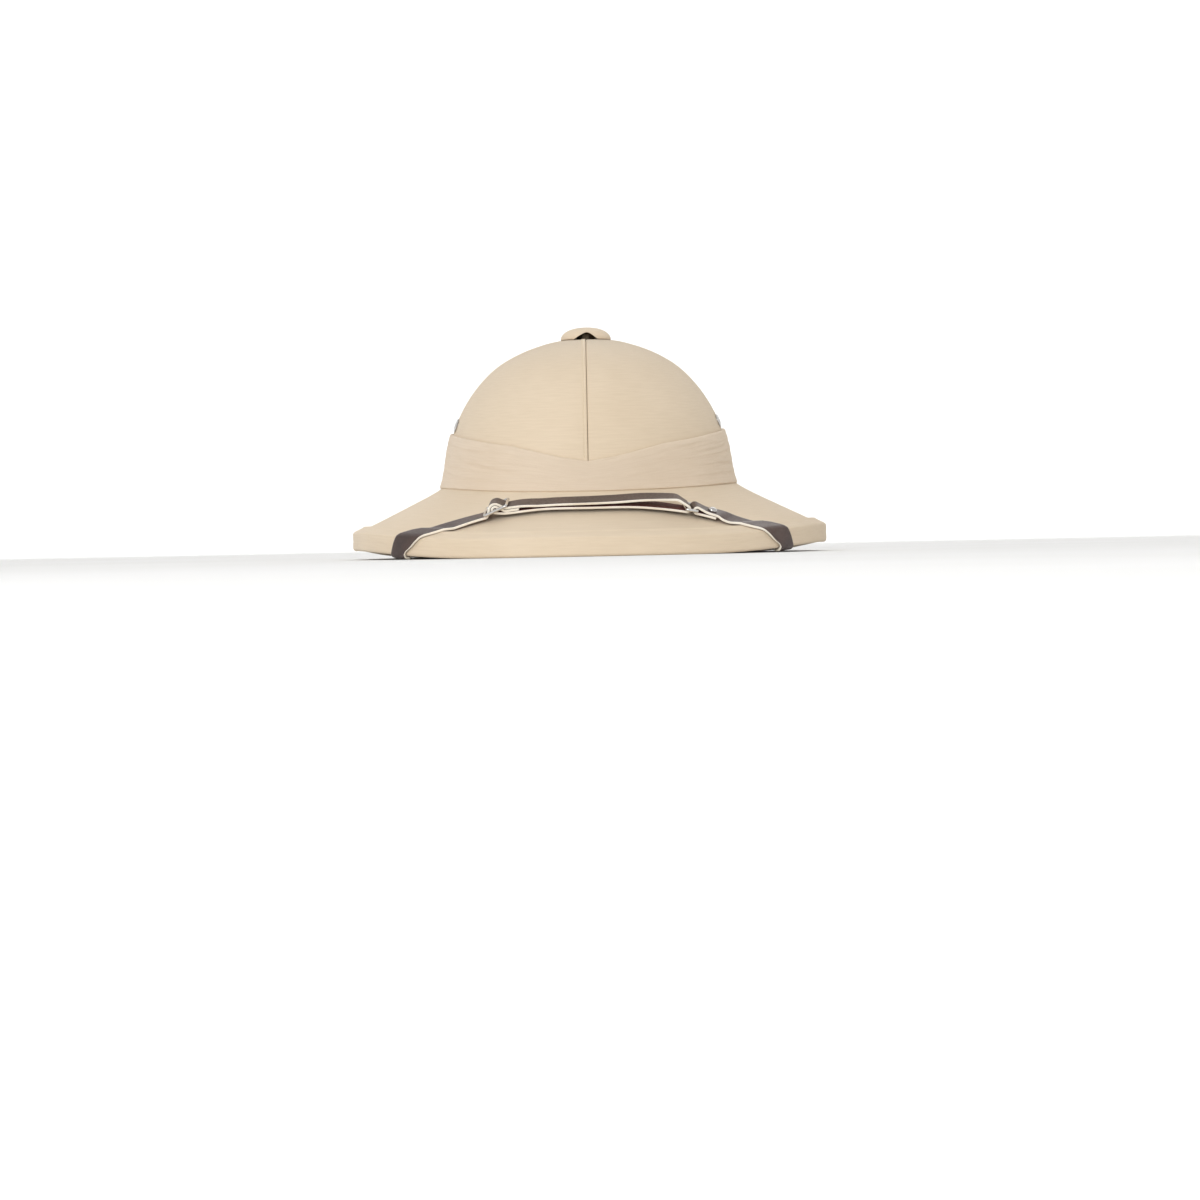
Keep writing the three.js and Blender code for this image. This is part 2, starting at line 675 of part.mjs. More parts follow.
function strapGround() {
  const side = (rows, reach) => rows.map((row) => {
    const azimuth = rad(row.azimuth) * reach;
    return new THREE.Vector3(azimuth * AZIMUTH_SCALE, placeToLength(azimuth, row.place), 0);
  });
  const right = side(STRAP_ROUTE.slice(1), -RIGHT_REACH).reverse();
  const curve = new THREE.CatmullRomCurve3([...right, ...side(STRAP_ROUTE, 1)], false, 'centripetal');
  const samples = curve.getPoints(Math.round(curve.getLength() / ROUTE_STEP)).map((point) => {
    const [azimuth, length] = [point.x / AZIMUTH_SCALE, point.y];
    return { azimuth, length, place: abovePoint(azimuth, length, 0) };
  });
  samples.forEach((sample, i) => {
    const last = samples[Math.max(i - 1, 0)];
    sample.distance = i > 0 ? last.distance + sample.place.distanceTo(last.place) : 0;
  });
  const middle = samples.find((sample) => sample.azimuth >= 0).distance;
  samples.forEach((sample, i) => {
    sample.distance -= middle;
    const ahead = samples[Math.min(i + ROUTE_SMOOTHING, samples.length - 1)].place;
    const behind = samples[Math.max(i - ROUTE_SMOOTHING, 0)].place;
    Object.assign(sample, acrossStep(sample, ahead.clone().sub(behind)));
  });
  return samples;
}

// The ground's own two directions here, and the strap's crosswise direction in terms of them.
function acrossStep({ azimuth, length }, along) {
  const reach = 2 * STRAP_THICKNESS;
  const turn = reach / (2 * AZIMUTH_SCALE);
  const slope = (from, to, span) => to.sub(from).divideScalar(2 * span);
  const here = (a, l) => abovePoint(a, l, 0);
  const one = slope(here(azimuth - turn, length), here(azimuth + turn, length), turn);
  const two = slope(here(azimuth, length - reach), here(azimuth, length + reach), reach);
  const across = one.clone().cross(two).cross(along).normalize();
  const [g11, g12, g22] = [one.dot(one), one.dot(two), two.dot(two)];
  const [b1, b2] = [across.dot(one), across.dot(two)];
  const det = g11 * g22 - g12 * g12;
  return { azimuthAcross: (b1 * g22 - b2 * g12) / det, lengthAcross: (b2 * g11 - b1 * g12) / det };
}

const GROUND = strapGround();
const GROUND_START = GROUND[0].distance;
const GROUND_END = GROUND[GROUND.length - 1].distance;

// Azimuth and length of a point of the strap's way: along it, and across it from its middle line.
function groundAt(distance, across = 0) {
  const { low, high, share } = between(GROUND, 'distance', distance);
  const value = (key) => lerp(low[key], high[key], share);
  return {
    azimuth: value('azimuth') + across * value('azimuthAcross'),
    length: value('length') + across * value('lengthAcross'),
  };
}

// The strap's edge nearer the rim stands off the brim, and lies down before the strap turns over the rim.
const EDGE_ZONE = { start: -32, end: -8 }; // lengths from the rim's top corner

function edgeStand(distance, across) {
  const { length } = groundAt(distance);
  const share = 1 - THREE.MathUtils.smoothstep(length, EDGE_ZONE.start, EDGE_ZONE.end);
  return EDGE_STAND * share * (0.5 + across / STRAP_WIDTH);
}

function wayPoint(distance, height, across) {
  const { azimuth, length } = groundAt(distance, across);
  return abovePoint(azimuth, length, height + edgeStand(distance, across));
}

// Where the strap turns over the rim, its sections lie along the rim instead of square to the strap, so
// that it bends round the edge. This is how far along one edge of the strap a section moves for that.
// Lengths count from the rim's top corner.
const SHEAR_REACH = 18;
const SHEAR_HALVINGS = 20;
const SHEAR_ZONE = { start: -24, full: -9, fullEnd: 20, end: 38 };

function shear(distance, across) {
  const { length } = groundAt(distance);
  const onTop = THREE.MathUtils.smoothstep(length, SHEAR_ZONE.start, SHEAR_ZONE.full);
  const below = THREE.MathUtils.smoothstep(length, SHEAR_ZONE.fullEnd, SHEAR_ZONE.end);
  const share = onTop * (1 - below);
  if (share === 0) return 0;
  const falling = distance > 0 ? 1 : -1;
  let [low, high] = [-SHEAR_REACH, SHEAR_REACH];
  for (let i = 0; i < SHEAR_HALVINGS; i++) {
    const middle = (low + high) / 2;
    const isPast = (groundAt(distance + middle, across).length - length) * falling > 0;
    if (isPast) high = middle;
    else low = middle;
  }
  return share * (low + high) / 2;
}

// A side view of a strap as a belt over pulleys: each row has its place along the way, its height, the
// radius of the strap's middle round it, and turn 1 where the strap turns clockwise, -1 otherwise.
const BEND_STEP = rad(36);
const BEND_RUN = 3;

function beltPoints(pulleys) {
  const directions = pulleys.slice(1).map((pulley, i) => {
    const last = pulleys[i];
    const gap = new THREE.Vector2(pulley.along - last.along, pulley.height - last.height);
    const slack = last.radius * last.turn - pulley.radius * pulley.turn;
    return Math.atan2(gap.y, gap.x) - Math.asin(slack / gap.length());
  });
  const arc = ({ along, height, radius, turn }, angle) => new THREE.Vector2(
    along - radius * turn * Math.sin(angle),
    height + radius * turn * Math.cos(angle),
  );
  return pulleys.flatMap((pulley, i) => {
    if (i === 0) return [arc(pulley, directions[0])];
    if (i === pulleys.length - 1) return [arc(pulley, directions[i - 1])];
    if (pulley.radius === 0) return [arc(pulley, 0)];
    let swing = (directions[i] - directions[i - 1]) * -pulley.turn;
    swing = THREE.MathUtils.euclideanModulo(swing, 2 * Math.PI);
    const run = swing * pulley.radius;
    const parts = Math.max(1, Math.ceil(swing / BEND_STEP), Math.ceil(run / BEND_RUN));
    return Array.from({ length: parts + 1 }, (_, j) => {
      return arc(pulley, directions[i - 1] - pulley.turn * swing * j / parts);
    });
  });
}

// Long straight runs get more stations, close ones where the ground turns over the rim.
const RUN_STEP = 9;
const RIM_STEP = 1.5;
const RIM_ZONE = { start: -14, end: 24 }; // lengths from the rim's top corner

function stepped(points) {
  return points.flatMap((point, i) => {
    if (i === 0) return [point];
    const last = points[i - 1];
    const way = Math.sign(point.x - last.x);
    const stepAt = (at) => {
      const { length } = groundAt(at + way * RUN_STEP / 2);
      return length > RIM_ZONE.start && length < RIM_ZONE.end ? RIM_STEP : RUN_STEP;
    };
    const parts = [];
    let at = last.x;
    while (Math.abs(point.x - at) >= 1.5 * stepAt(at)) {
      at += way * stepAt(at);
      parts.push(last.clone().lerp(point, (at - last.x) / (point.x - last.x)));
    }
    return [...parts, point];
  });
}

function strapGeometry(pulleys) {
  const points = stepped(beltPoints(pulleys));
  const half = STRAP_WIDTH / 2;
  const thick = STRAP_THICKNESS / 2;
  const sections = points.map((point, i) => {
    const before = points[Math.max(i - 1, 0)];
    const after = points[Math.min(i + 1, points.length - 1)];
    const one = point.clone().sub(before).normalize();
    const along = one.add(after.clone().sub(point).normalize()).normalize();
    const out = new THREE.Vector2(-along.y, along.x);
    const high = point.clone().addScaledVector(out, thick);
    const low = point.clone().addScaledVector(out, -thick);
    const [near, far] = [shear(point.x, -half), shear(point.x, half)];
    return [
      wayPoint(high.x + near, high.y, -half),
      wayPoint(high.x + far, high.y, half),
      wayPoint(low.x + far, low.y, half),
      wayPoint(low.x + near, low.y, -half),
    ];
  });
  return sweep(sections, false);
}

const LEFT_BAR = { along: SLIDER_PLACE - SLIDER_PITCH, height: BASE + NEAR_BAR };
const RIGHT_BAR = { along: SLIDER_PLACE + SLIDER_PITCH, height: LEFT_BAR.height + 2 * ON_STRAP };
const MIDDLE_BAR = { along: SLIDER_PLACE, height: (LEFT_BAR.height + RIGHT_BAR.height) / 2 };
const RING_LEFT = { along: RING_PLACE, height: BASE + NEAR_BAR };
const RING_RIGHT = { along: RING_PLACE + RING_PITCH, height: RING_LEFT.height };
const RIVET_AT = RING_RIGHT.along + RIVET_PLACE;

const PAST_TAIL = 2; // how far past a tail's end the strap above it starts to sink
const SINK = 11; // over how much of its way it sinks by one layer
const SHORT_SINK = 7;
const SLACK = 0.5; // how loosely the upper layer lies on the lower one
const LIFT = 60; // before the ring, where the two layers start to part
const RISE = 40; // before the ring, where they part further
const BULGE_PLACE = 7; // before the ring, the crest of the upper layer's bulge
const BULGE_HEIGHT = 6.9; // from the lower layer's middle to the upper one's, at the crest
const BULGE_RADIUS = 6;
const TAIL = SLIDER_PLACE + SLIDER_TAIL;
const FOLD = RING_RIGHT.along + FOLD_TAIL;

const bend = (along, height) => ({ along, height, radius: 0, turn: 1 });
const BULGE = { along: RING_LEFT.along - BULGE_PLACE, height: BASE + BULGE_HEIGHT - BULGE_RADIUS };

const LONG_STRAP = [
  bend(GROUND_START, BASE),
  { ...LEFT_BAR, radius: NEAR_BAR, turn: -1 },
  { ...MIDDLE_BAR, radius: NEAR_BAR + ON_STRAP, turn: 1 },
  { ...RIGHT_BAR, radius: NEAR_BAR, turn: -1 },
  bend(TAIL + PAST_TAIL, BASE + 2 * ON_STRAP),
  bend(TAIL + PAST_TAIL + SINK, BASE + ON_STRAP + SLACK),
  bend(RING_LEFT.along - LIFT, BASE + ON_STRAP + 2 * SLACK),
  bend(RING_LEFT.along - RISE, BASE + ON_STRAP + 3 * SLACK),
  { ...BULGE, radius: BULGE_RADIUS, turn: 1 },
  { ...RING_LEFT, radius: NEAR_BAR, turn: 1 },
  bend(RIGHT_BAR.along - WIRE / 2, BASE),
  { ...MIDDLE_BAR, radius: NEAR_BAR, turn: 1 },
  { ...RIGHT_BAR, radius: NEAR_BAR + ON_STRAP, turn: -1 },
  bend(TAIL, BASE + ON_STRAP),
];

const SHORT_STRAP = [
  bend(GROUND_END, BASE),
  bend(FOLD + PAST_TAIL + SHORT_SINK, BASE),
  bend(FOLD + PAST_TAIL, BASE + ON_STRAP),
  bend(RIVET_AT - RIVET_HEAD / 2 - GAP, BASE + ON_STRAP),
  { ...RING_RIGHT, radius: NEAR_BAR, turn: -1 },
  bend(FOLD, BASE),
];

// Rivets: where each sits, how high above the ground it holds the straps, and how deep its shank goes.
const ANCHORED = { top: ON_STRAP + GAP, foot: -CROWN_PITH };
const RIVETS = [
  { name: 'strap_rivet', along: RIVET_AT, top: 2 * ON_STRAP, foot: GAP },
  { name: 'anchor_rivet_left', along: GROUND_END - STRAP_WIDTH / 2, ...ANCHORED },
  { name: 'anchor_rivet_right', along: GROUND_START + STRAP_WIDTH / 2, ...ANCHORED },
].map((row) => {
  const at = (shift, across) => wayPoint(row.along + shift, row.top, across);
  const across = at(0, RIVET_HEAD / 2).sub(at(0, -RIVET_HEAD / 2));
  const along = at(RIVET_HEAD / 2, 0).sub(at(-RIVET_HEAD / 2, 0));
  const up = across.cross(along).normalize();
  return { ...row, place: at(0, 0).addScaledVector(up, -row.top), up };
});

function addRivets() {
  const shank = RIVET_SHANK / 2;
  const parts = 4;
  for (const { name, top, foot, place, up } of RIVETS) {
    const base = top + GAP + SEAT_EASE;
    const dome = Array.from({ length: parts }, (_, i) => {
      const angle = (i / parts) * Math.PI / 2;
      return [RIVET_HEAD / 2 * Math.cos(angle), base + RIVET_DOME * Math.sin(angle)];
    });
    const outline = [[0, foot], [shank, foot], [shank, base], ...dome, [0, base + RIVET_DOME]];
    const piece = addPiece(name, lathe(outline, SMALL_SIDES), STEEL);
    piece.position.copy(place);
    piece.quaternion.setFromUnitVectors(new THREE.Vector3(0, 1, 0), up);
  }
}

function rivetCutter({ top, foot, place, up }) {
  const low = place.clone().addScaledVector(up, foot - GAP);
  const high = place.clone().addScaledVector(up, top + 2 * GAP);
  return rod(low, high, RIVET_SHANK / 2 + GAP, SMALL_SIDES);
}

function addStraps() {
  const [fold, leftAnchor, rightAnchor] = RIVETS.map(rivetCutter);
  addPiece('chin_strap', carve(strapGeometry(LONG_STRAP), [rightAnchor]), LEATHER);
  addPiece('short_strap', carve(strapGeometry(SHORT_STRAP), [fold, leftAnchor]), LEATHER);
}

// A metal frame: bars across the strap, joined by a rail along each edge.
function addFrame(name, bars) {
  const half = STRAP_WIDTH / 2 + FRAME_ROOM + WIRE / 2;
  const ends = bars.map(({ along, height }) => {
    return [-half, half].map((across) => wayPoint(along, height, across));
  });
  const rails = [0, 1].map((side) => {
    const [from, to] = [ends[0][side], ends[ends.length - 1][side]];
    const overhang = to.clone().sub(from).setLength(WIRE / 2);
    return [from.clone().sub(overhang), to.clone().add(overhang)];
  });
  const rods = [...ends, ...rails].map(([from, to]) => rod(from, to, WIRE / 2, WIRE_SIDES));
  addPiece(name, join(rods), STEEL);
}

const eyeletHoles = eyeletCutters();
const anchorHoles = RIVETS.slice(1).map(rivetCutter);
addShell([...eyeletHoles, ...anchorHoles]);
addCrownCovers(eyeletHoles);
addBrimCover();
addBrimLining();
addEdgeBinding();
addPuggaree();
addVentCap();
addVentPost();
addEyelets();
addStraps();
addFrame('strap_slider', [LEFT_BAR, MIDDLE_BAR, RIGHT_BAR]);
addFrame('strap_ring', [RING_LEFT, RING_RIGHT]);
addRivets();

export default helmet;
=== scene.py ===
"""The looks of the pith helmet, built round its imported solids.

Sizes are in millimetres in the shape functions, in the frame of the solids, and are turned into
metres where a mesh is made. The wearer faces -Y, and +X is the wearer's left.
"""

import math

import bpy
import numpy as np
from mathutils import Matrix, Vector, noise


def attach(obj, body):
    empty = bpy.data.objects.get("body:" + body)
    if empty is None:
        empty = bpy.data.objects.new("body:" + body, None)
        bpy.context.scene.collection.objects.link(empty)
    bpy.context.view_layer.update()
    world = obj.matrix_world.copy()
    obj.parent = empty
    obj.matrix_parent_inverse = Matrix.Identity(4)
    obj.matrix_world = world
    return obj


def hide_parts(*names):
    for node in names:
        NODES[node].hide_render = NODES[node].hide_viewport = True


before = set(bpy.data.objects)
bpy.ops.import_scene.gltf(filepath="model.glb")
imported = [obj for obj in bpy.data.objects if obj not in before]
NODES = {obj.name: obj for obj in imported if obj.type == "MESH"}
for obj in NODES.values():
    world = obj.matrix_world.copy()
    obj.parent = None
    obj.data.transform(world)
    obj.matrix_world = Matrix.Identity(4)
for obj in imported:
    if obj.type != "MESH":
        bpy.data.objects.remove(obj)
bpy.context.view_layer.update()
MM = 0.001

# Camera, first of all: the photograph's own angle, with the lens just above the floor

FRAME_PIXELS, FOCAL_PIXELS, SENSOR = 1200, 2969, 36
CAMERA_DISTANCE = 1.896
CAMERA_HEIGHT = 0.010
AIM_RIGHT = 9 / FOCAL_PIXELS
AIM_DOWN = 0.0205
ROLL = 1.16


def put_in_scene(name, data):
    obj = bpy.data.objects.new(name, data)
    bpy.context.scene.collection.objects.link(obj)
    return obj


def add_camera():
    data = bpy.data.cameras.new("camera")
    data.sensor_width = SENSOR
    data.lens = SENSOR * FOCAL_PIXELS / FRAME_PIXELS
    data.clip_start, data.clip_end = 0.01, 60
    camera = put_in_scene("camera", data)
    aim = Vector((AIM_RIGHT, 1, -AIM_DOWN)).to_track_quat("-Z", "Y")
    turn = Matrix.Rotation(math.radians(-ROLL), 4, "Z")
    camera.matrix_world = (
        Matrix.Translation((0, -CAMERA_DISTANCE, CAMERA_HEIGHT)) @ aim.to_matrix().to_4x4() @ turn
    )
    bpy.context.scene.camera = camera


# Sizes, as in the solids

CROWN_WIDTH, CROWN_LENGTH, CROWN_TOP = 184, 218, 136.5
FOOT_HEIGHT, FOOT_SIDE_LIFT, FOOT_FILLET = 39.5, 5, 4
FRONT_BRIM, SIDE_BRIM, BACK_BRIM = 52, 58, 66
RIM_SIDE_LIFT = 5.5
FRONT_LEVEL, FRONT_RISEN, BACK_LEVEL, BACK_RISEN = 23, 75, 45, 85
BRIM_PITCH, BRIM_DISH = 26, 0.08
CROWN_PITH, BRIM_PITH, COVER, LINING, BINDING, GAP = 6, 5.5, 1, 1, 1.2, 0.3
BINDING_LAP, BINDING_LAND, BINDING_CORNER = 6, 2.4, 1.2
PUGGAREE_THICKNESS, PUGGAREE_FRONT, PUGGAREE_SIDE, PUGGAREE_SEAT = 2.6, 17.5, 34.5, 0.9
PLEATS, PLEAT_STEP = 5, 0.8
VENT_BORE, VENT_SEAT, SEAT_FALL = 12, 36, 0.8
CAP_DIAMETER, CAP_HEIGHT, CAP_WALL, CAP_FULLNESS = 32, 8.2, 2, 0.9
CAP_ARCH_WIDTH, CAP_ARCH_HEIGHT = 15, 4.5
EYELET_DIAMETER, EYELET_HOLE, EYELET_WALL, EYELET_RISE, EYELET_SPREAD = 9, 4.5, 0.7, 1, 12
FLANGE_GAP = 0.45
STRAP_WIDTH, STRAP_THICKNESS, WIRE = 12.5, 1.5, 1.8
SLIDER_PLACE, SLIDER_PITCH, SLIDER_TAIL = -55, 7, 14
RING_PLACE, RING_PITCH, FOLD_TAIL, RIVET_PLACE = 57.3, 6.7, 14, 10
RIVET_HEAD, RIVET_SHANK, RIVET_DOME, SEAT_EASE = 5.6, 2.6, 1.7, 0.2
FRAME_ROOM, UNDER_ROOM, RIM_ROOM, LAP_PASSED = 0.6, 0.7, 0.4, 1.6
PAST_TAIL, SINK, SHORT_SINK, SLACK, LIFT, RISE = 2, 11, 7, 0.5, 60, 40
BULGE_PLACE, BULGE_HEIGHT, BULGE_RADIUS = 7, 6.9, 6
EDGE_STAND, RIGHT_REACH = 2.4, 0.96
EDGE_ZONE = (-32, -8)

# How far up the crown's rise, and how far out of its radius at the foot
CROWN_RISE = [0.12, 0.28, 0.44, 0.58, 0.71, 0.82, 0.91, 0.967]
CROWN_REACH = [0.974, 0.947, 0.899, 0.828, 0.731, 0.615, 0.458, 0.3]

# Degrees from the front, and share of the band's climb
BAND_AZIMUTH = [0, 9, 18, 27, 54, 90, 180]
BAND_CLIMB = [0, 0.15, 0.36, 0.55, 0.78, 1, 1]

# Degrees from the front, and place on the strap's ground
ROUTE = [
    (0, 0.31), (14.4, 0.335), (27.7, 0.51), (36.3, 0.72), (42.6, 0.93), (46.3, 1.12), (48.8, 1.45),
    (50, 1.9), (51.4, 2.14), (55, 2.36), (63, 2.6), (74, 2.85), (83, 3.06), (90, 3.3),
]

SLANT = 1 / math.cos(math.radians(BRIM_PITCH))
CROWN_Y = (FRONT_BRIM - BACK_BRIM) / 2
CROWN_DEPTH = COVER + GAP
BRIM_DEPTH = COVER + GAP + BRIM_PITH + GAP + LINING
EDGE_INSET = BINDING + GAP
ON_STRAP = STRAP_THICKNESS + GAP
BASE = GAP + STRAP_THICKNESS / 2
NEAR_BAR = WIRE / 2 + GAP + STRAP_THICKNESS / 2
SEAM = len(CROWN_RISE) + 3


# Curves of the plan and the section


def lerp(a, b, share):
    return a + (b - a) * share


def smoothstep(value, low, high):
    share = np.clip((value - low) / (high - low), 0, 1)
    return share * share * (3 - 2 * share)


def unit(v):
    return v / np.maximum(np.linalg.norm(v, axis=-1, keepdims=True), 1e-12)


def lengths_along(points):
    """The length from the first point to each one."""
    return np.concatenate([[0], np.cumsum(np.linalg.norm(np.diff(points, axis=0), axis=1))])


def bend(before, corner, after, reaches, parts):
    """A small arc in place of a corner, which starts and ends at the reaches from it."""
    start, end = [corner + unit(p - corner) * reach for p, reach in zip((before, after), reaches)]
    return [
        (1 - s) ** 2 * start + 2 * s * (1 - s) * corner + s * s * end
        for s in np.linspace(0, 1, parts + 1)
    ]


def turns(count):
    return [2 * math.pi * i / count for i in range(count)]


def quarter(parts):
    return [math.pi / 2 * i / parts for i in range(parts + 1)]


def spokes(axis, count):
    """The axis as a unit arrow, and unit arrows square to it, all round."""
    z = unit(np.asarray(axis, float))
    x = unit(np.cross(z, [0.3, 0.9, 0.1]))
    turn = np.array(turns(count))[:, None]
    return z, np.cos(turn) * x + np.sin(turn) * np.cross(z, x)


def ellipse_radius(azimuth, across, along):
    return 1 / math.hypot(math.sin(azimuth) / across, math.cos(azimuth) / along)


def foot_radius(azimuth):
    return ellipse_radius(azimuth, CROWN_WIDTH / 2, CROWN_LENGTH / 2)


def rim_radius(azimuth):
    brim = FRONT_BRIM if math.cos(azimuth) > 0 else BACK_BRIM
    return ellipse_radius(azimuth, CROWN_WIDTH / 2 + SIDE_BRIM, CROWN_LENGTH / 2 + brim)


def foot_height(azimuth):
    return FOOT_HEIGHT + FOOT_SIDE_LIFT * math.sin(azimuth) ** 2


def from_front(azimuth):
    return math.degrees(math.acos(max(-1, min(1, math.cos(azimuth)))))


def rim_height(azimuth):
    front = smoothstep(from_front(azimuth), FRONT_LEVEL, FRONT_RISEN)
    back = smoothstep(180 - from_front(azimuth), BACK_LEVEL, BACK_RISEN)
    return RIM_SIDE_LIFT * min(front, back)


def brim_top(azimuth, share):
    rim = rim_height(azimuth) + (BRIM_DEPTH + EDGE_INSET) * SLANT
    fall = share + BRIM_DISH * share * (1 - share)
    r = lerp(foot_radius(azimuth), rim_radius(azimuth) - EDGE_INSET, share)
    return np.array([r, lerp(foot_height(azimuth), rim, fall)])


def cloth_outline(azimuth):
    """The stations of the cloth's face in one section, from the ventilator's bore to the rim."""
    foot, edge = foot_height(azimuth), foot_radius(azimuth)
    rise = CROWN_TOP - foot
    above = np.array([
        edge * lerp(1, CROWN_REACH[0], FOOT_FILLET / (CROWN_RISE[0] * rise)), foot + FOOT_FILLET
    ])
    beyond = brim_top(azimuth, FOOT_FILLET / (rim_radius(azimuth) - edge))
    turn = (above + beyond + 2 * np.array([edge, foot])) / 4
    rows = [[reach * edge, foot + share * rise] for share, reach in zip(CROWN_RISE, CROWN_REACH)]
    return np.array([
        [VENT_BORE / 2 + GAP, CROWN_TOP],
        [VENT_SEAT / 2, CROWN_TOP - SEAT_FALL],
        *rows[::-1],
        above,
        lerp(above, turn, GAP / np.linalg.norm(turn - above)),
        turn,
        beyond,
        brim_top(azimuth, 0.5),
        brim_top(azimuth, 1),
    ])


def normals_of(outline):
    step = unit(np.diff(outline, axis=0))
    along = unit(np.vstack([step[:1], step[:-1] + step[1:], step[-1:]]))
    return np.stack([-along[:, 1], along[:, 0]], axis=1)


def outline_at(azimuth, depth):
    outline = cloth_outline(azimuth)
    moved = outline - depth * normals_of(outline)
    moved[0] = outline[0] - [0, depth]
    moved[-1] = outline[-1] - [0, depth * SLANT]
    return moved


def smooth_curve(points, parts):
    """A smooth curve through the points, with the same number of parts in every span."""
    p = np.asarray(points, float)
    chord = np.linalg.norm(np.diff(p, axis=0), axis=1)
    t = np.concatenate([[0], np.cumsum(np.sqrt(chord))])
    slope = np.gradient(p, t, axis=0)
    rows = []
    for i in range(len(p) - 1):
        h = t[i + 1] - t[i]
        for s in np.arange(parts) / parts:
            a, b = (1 + 2 * s) * (1 - s) ** 2, s * (1 - s) ** 2
            c, d = s * s * (3 - 2 * s), s * s * (s - 1)
            rows.append(a * p[i] + b * h * slope[i] + c * p[i + 1] + d * h * slope[i + 1])
    rows.append(p[-1])
    return np.array(rows)


def in_space(azimuth, points):
    r, z = np.asarray(points, float).T
    return np.stack([r * math.sin(azimuth), CROWN_Y - r * math.cos(azimuth), z], axis=1)


# Meshes


def finish_mesh(obj, replaces=(), sharp=40):
    """Smooth shading with sharp edges, the piece hung on the root body, and the parts that it
    replaces hidden.
    """
    mesh = obj.data
    mesh.validate()
    mesh.polygons.foreach_set("use_smooth", np.ones(len(mesh.polygons), bool))
    mesh.set_sharp_from_angle(angle=math.radians(sharp))
    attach(obj, "root")
    if replaces:
        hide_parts(*replaces)
    return obj


def make_mesh(name, points, faces, materials, face_materials=None, uv=None):
    mesh = bpy.data.meshes.new(name)
    mesh.from_pydata((np.asarray(points) * MM).tolist(), [], [list(map(int, f)) for f in faces])
    for material in materials:
        mesh.materials.append(material)
    if face_materials is not None:
        mesh.polygons.foreach_set("material_index", np.asarray(face_materials, np.int32))
    if uv is not None:
        layer = mesh.uv_layers.new(name="cloth")
        layer.data.foreach_set("uv", np.asarray(uv, np.float32).ravel() * MM)
    mesh.update()
    return put_in_scene(name, mesh)


def closed_mesh(name, points, faces, materials, face_materials=None, uv=None):
    """A mesh turned so that its faces look out. uv has a row of corners for each face."""
    total = 0.0
    for f in faces:
        a = points[f[0]]
        for j in range(1, len(f) - 1):
            total += np.dot(a, np.cross(points[f[j]], points[f[j + 1]]))
    if total < 0:
        faces = [f[::-1] for f in faces]
        uv = uv and [row[::-1] for row in uv]
    corners = uv and [corner for row in uv for corner in row]
    return make_mesh(name, points, faces, materials, face_materials, corners)


def sweep(name, sections, materials, looped, u=None, strips=None):
    """A closed body through sections that are closed outlines of equally many points.

    u is the length in millimetres along the sweep, for the weave. strips gives the material index of
    each strip of faces round the section, and the ends take the last one.
    """
    sections = np.asarray(sections, float)
    rows, cols = sections.shape[:2]
    points = sections.reshape(-1, 3)
    if u is None:
        u = lengths_along(np.vstack([sections[:, 0], sections[:1, 0]]))
    middle = sections[rows // 3]
    v = lengths_along(np.vstack([middle, middle[:1]]))
    spans = rows if looped else rows - 1
    i, j = np.meshgrid(np.arange(spans), np.arange(cols), indexing="ij")
    i, j = i.ravel(), j.ravel()
    i2, j2 = (i + 1) % rows, (j + 1) % cols
    faces = np.stack([i * cols + j, i * cols + j2, i2 * cols + j2, i2 * cols + j], axis=1)
    uv = np.stack([
        np.stack([u[i], v[j]], 1), np.stack([u[i], v[j + 1]], 1),
        np.stack([u[i + 1], v[j + 1]], 1), np.stack([u[i + 1], v[j]], 1),
    ], axis=1)
    strips = np.zeros(cols, int) if strips is None else np.asarray(strips)
    faces, uv, kinds = faces.tolist(), uv.tolist(), strips[j].tolist()
    if not looped:
        for row in (0, rows - 1):
            for k in range(cols // 2 - 1):
                quad = [k, k + 1, cols - 2 - k, cols - 1 - k]
                if row == 0:
                    quad = quad[::-1]
                faces.append([row * cols + q for q in quad])
                uv.append([[u[row], v[q]] for q in quad])
                kinds.append(strips[-1])
    return closed_mesh(name, points, faces, materials, kinds, uv)


def lathe(name, outline, sides, materials, place, outward):
    """A body turned round an axis through place. The outline is rows of (radius, height), closed, or
    with both its ends on the axis."""
    axis, arrows = spokes(outward, sides)
    outline = np.asarray(outline, float)
    has_poles = outline[0, 0] == 0 and outline[-1, 0] == 0
    rings = outline[1:-1] if has_poles else outline
    points = np.vstack([place + r * arrows + h * axis for r, h in rings])
    lengths = lengths_along(rings)
    around = 2 * math.pi * rings[:, 0].max() / sides
    faces, uv = [], []
    spans = len(rings) - 1 if has_poles else len(rings)
    for i in range(spans):
        n = (i + 1) % len(rings)
        low, high = lengths[i], lengths[n] if n else lengths[i] + 1
        for k in range(sides):
            m = (k + 1) % sides
            faces.append([i * sides + k, i * sides + m, n * sides + m, n * sides + k])
            near, far = k * around, (k + 1) * around
            uv.append([[near, low], [far, low], [far, high], [near, high]])
    if has_poles:
        first, last = len(points), len(points) + 1
        points = np.vstack([points, *[place + outline[end, 1] * axis for end in (0, -1)]])
        top = (len(rings) - 1) * sides
        for k in range(sides):
            m = (k + 1) % sides
            faces.append([k, first, m])
            faces.append([top + m, last, top + k])
            at = [[k * around, 0], [(k + 0.5) * around, 0], [(k + 1) * around, 0]]
            uv.extend([at, at])
    return closed_mesh(name, points, faces, materials, None, uv)


def ring_faces(rings, sides, first):
    """Faces between rings of points, whose first point has the index first."""
    for i in range(rings - 1):
        for k in range(sides):
            a, b = first + i * sides + k, first + i * sides + (k + 1) % sides
            yield [a, b, b + sides, a + sides]


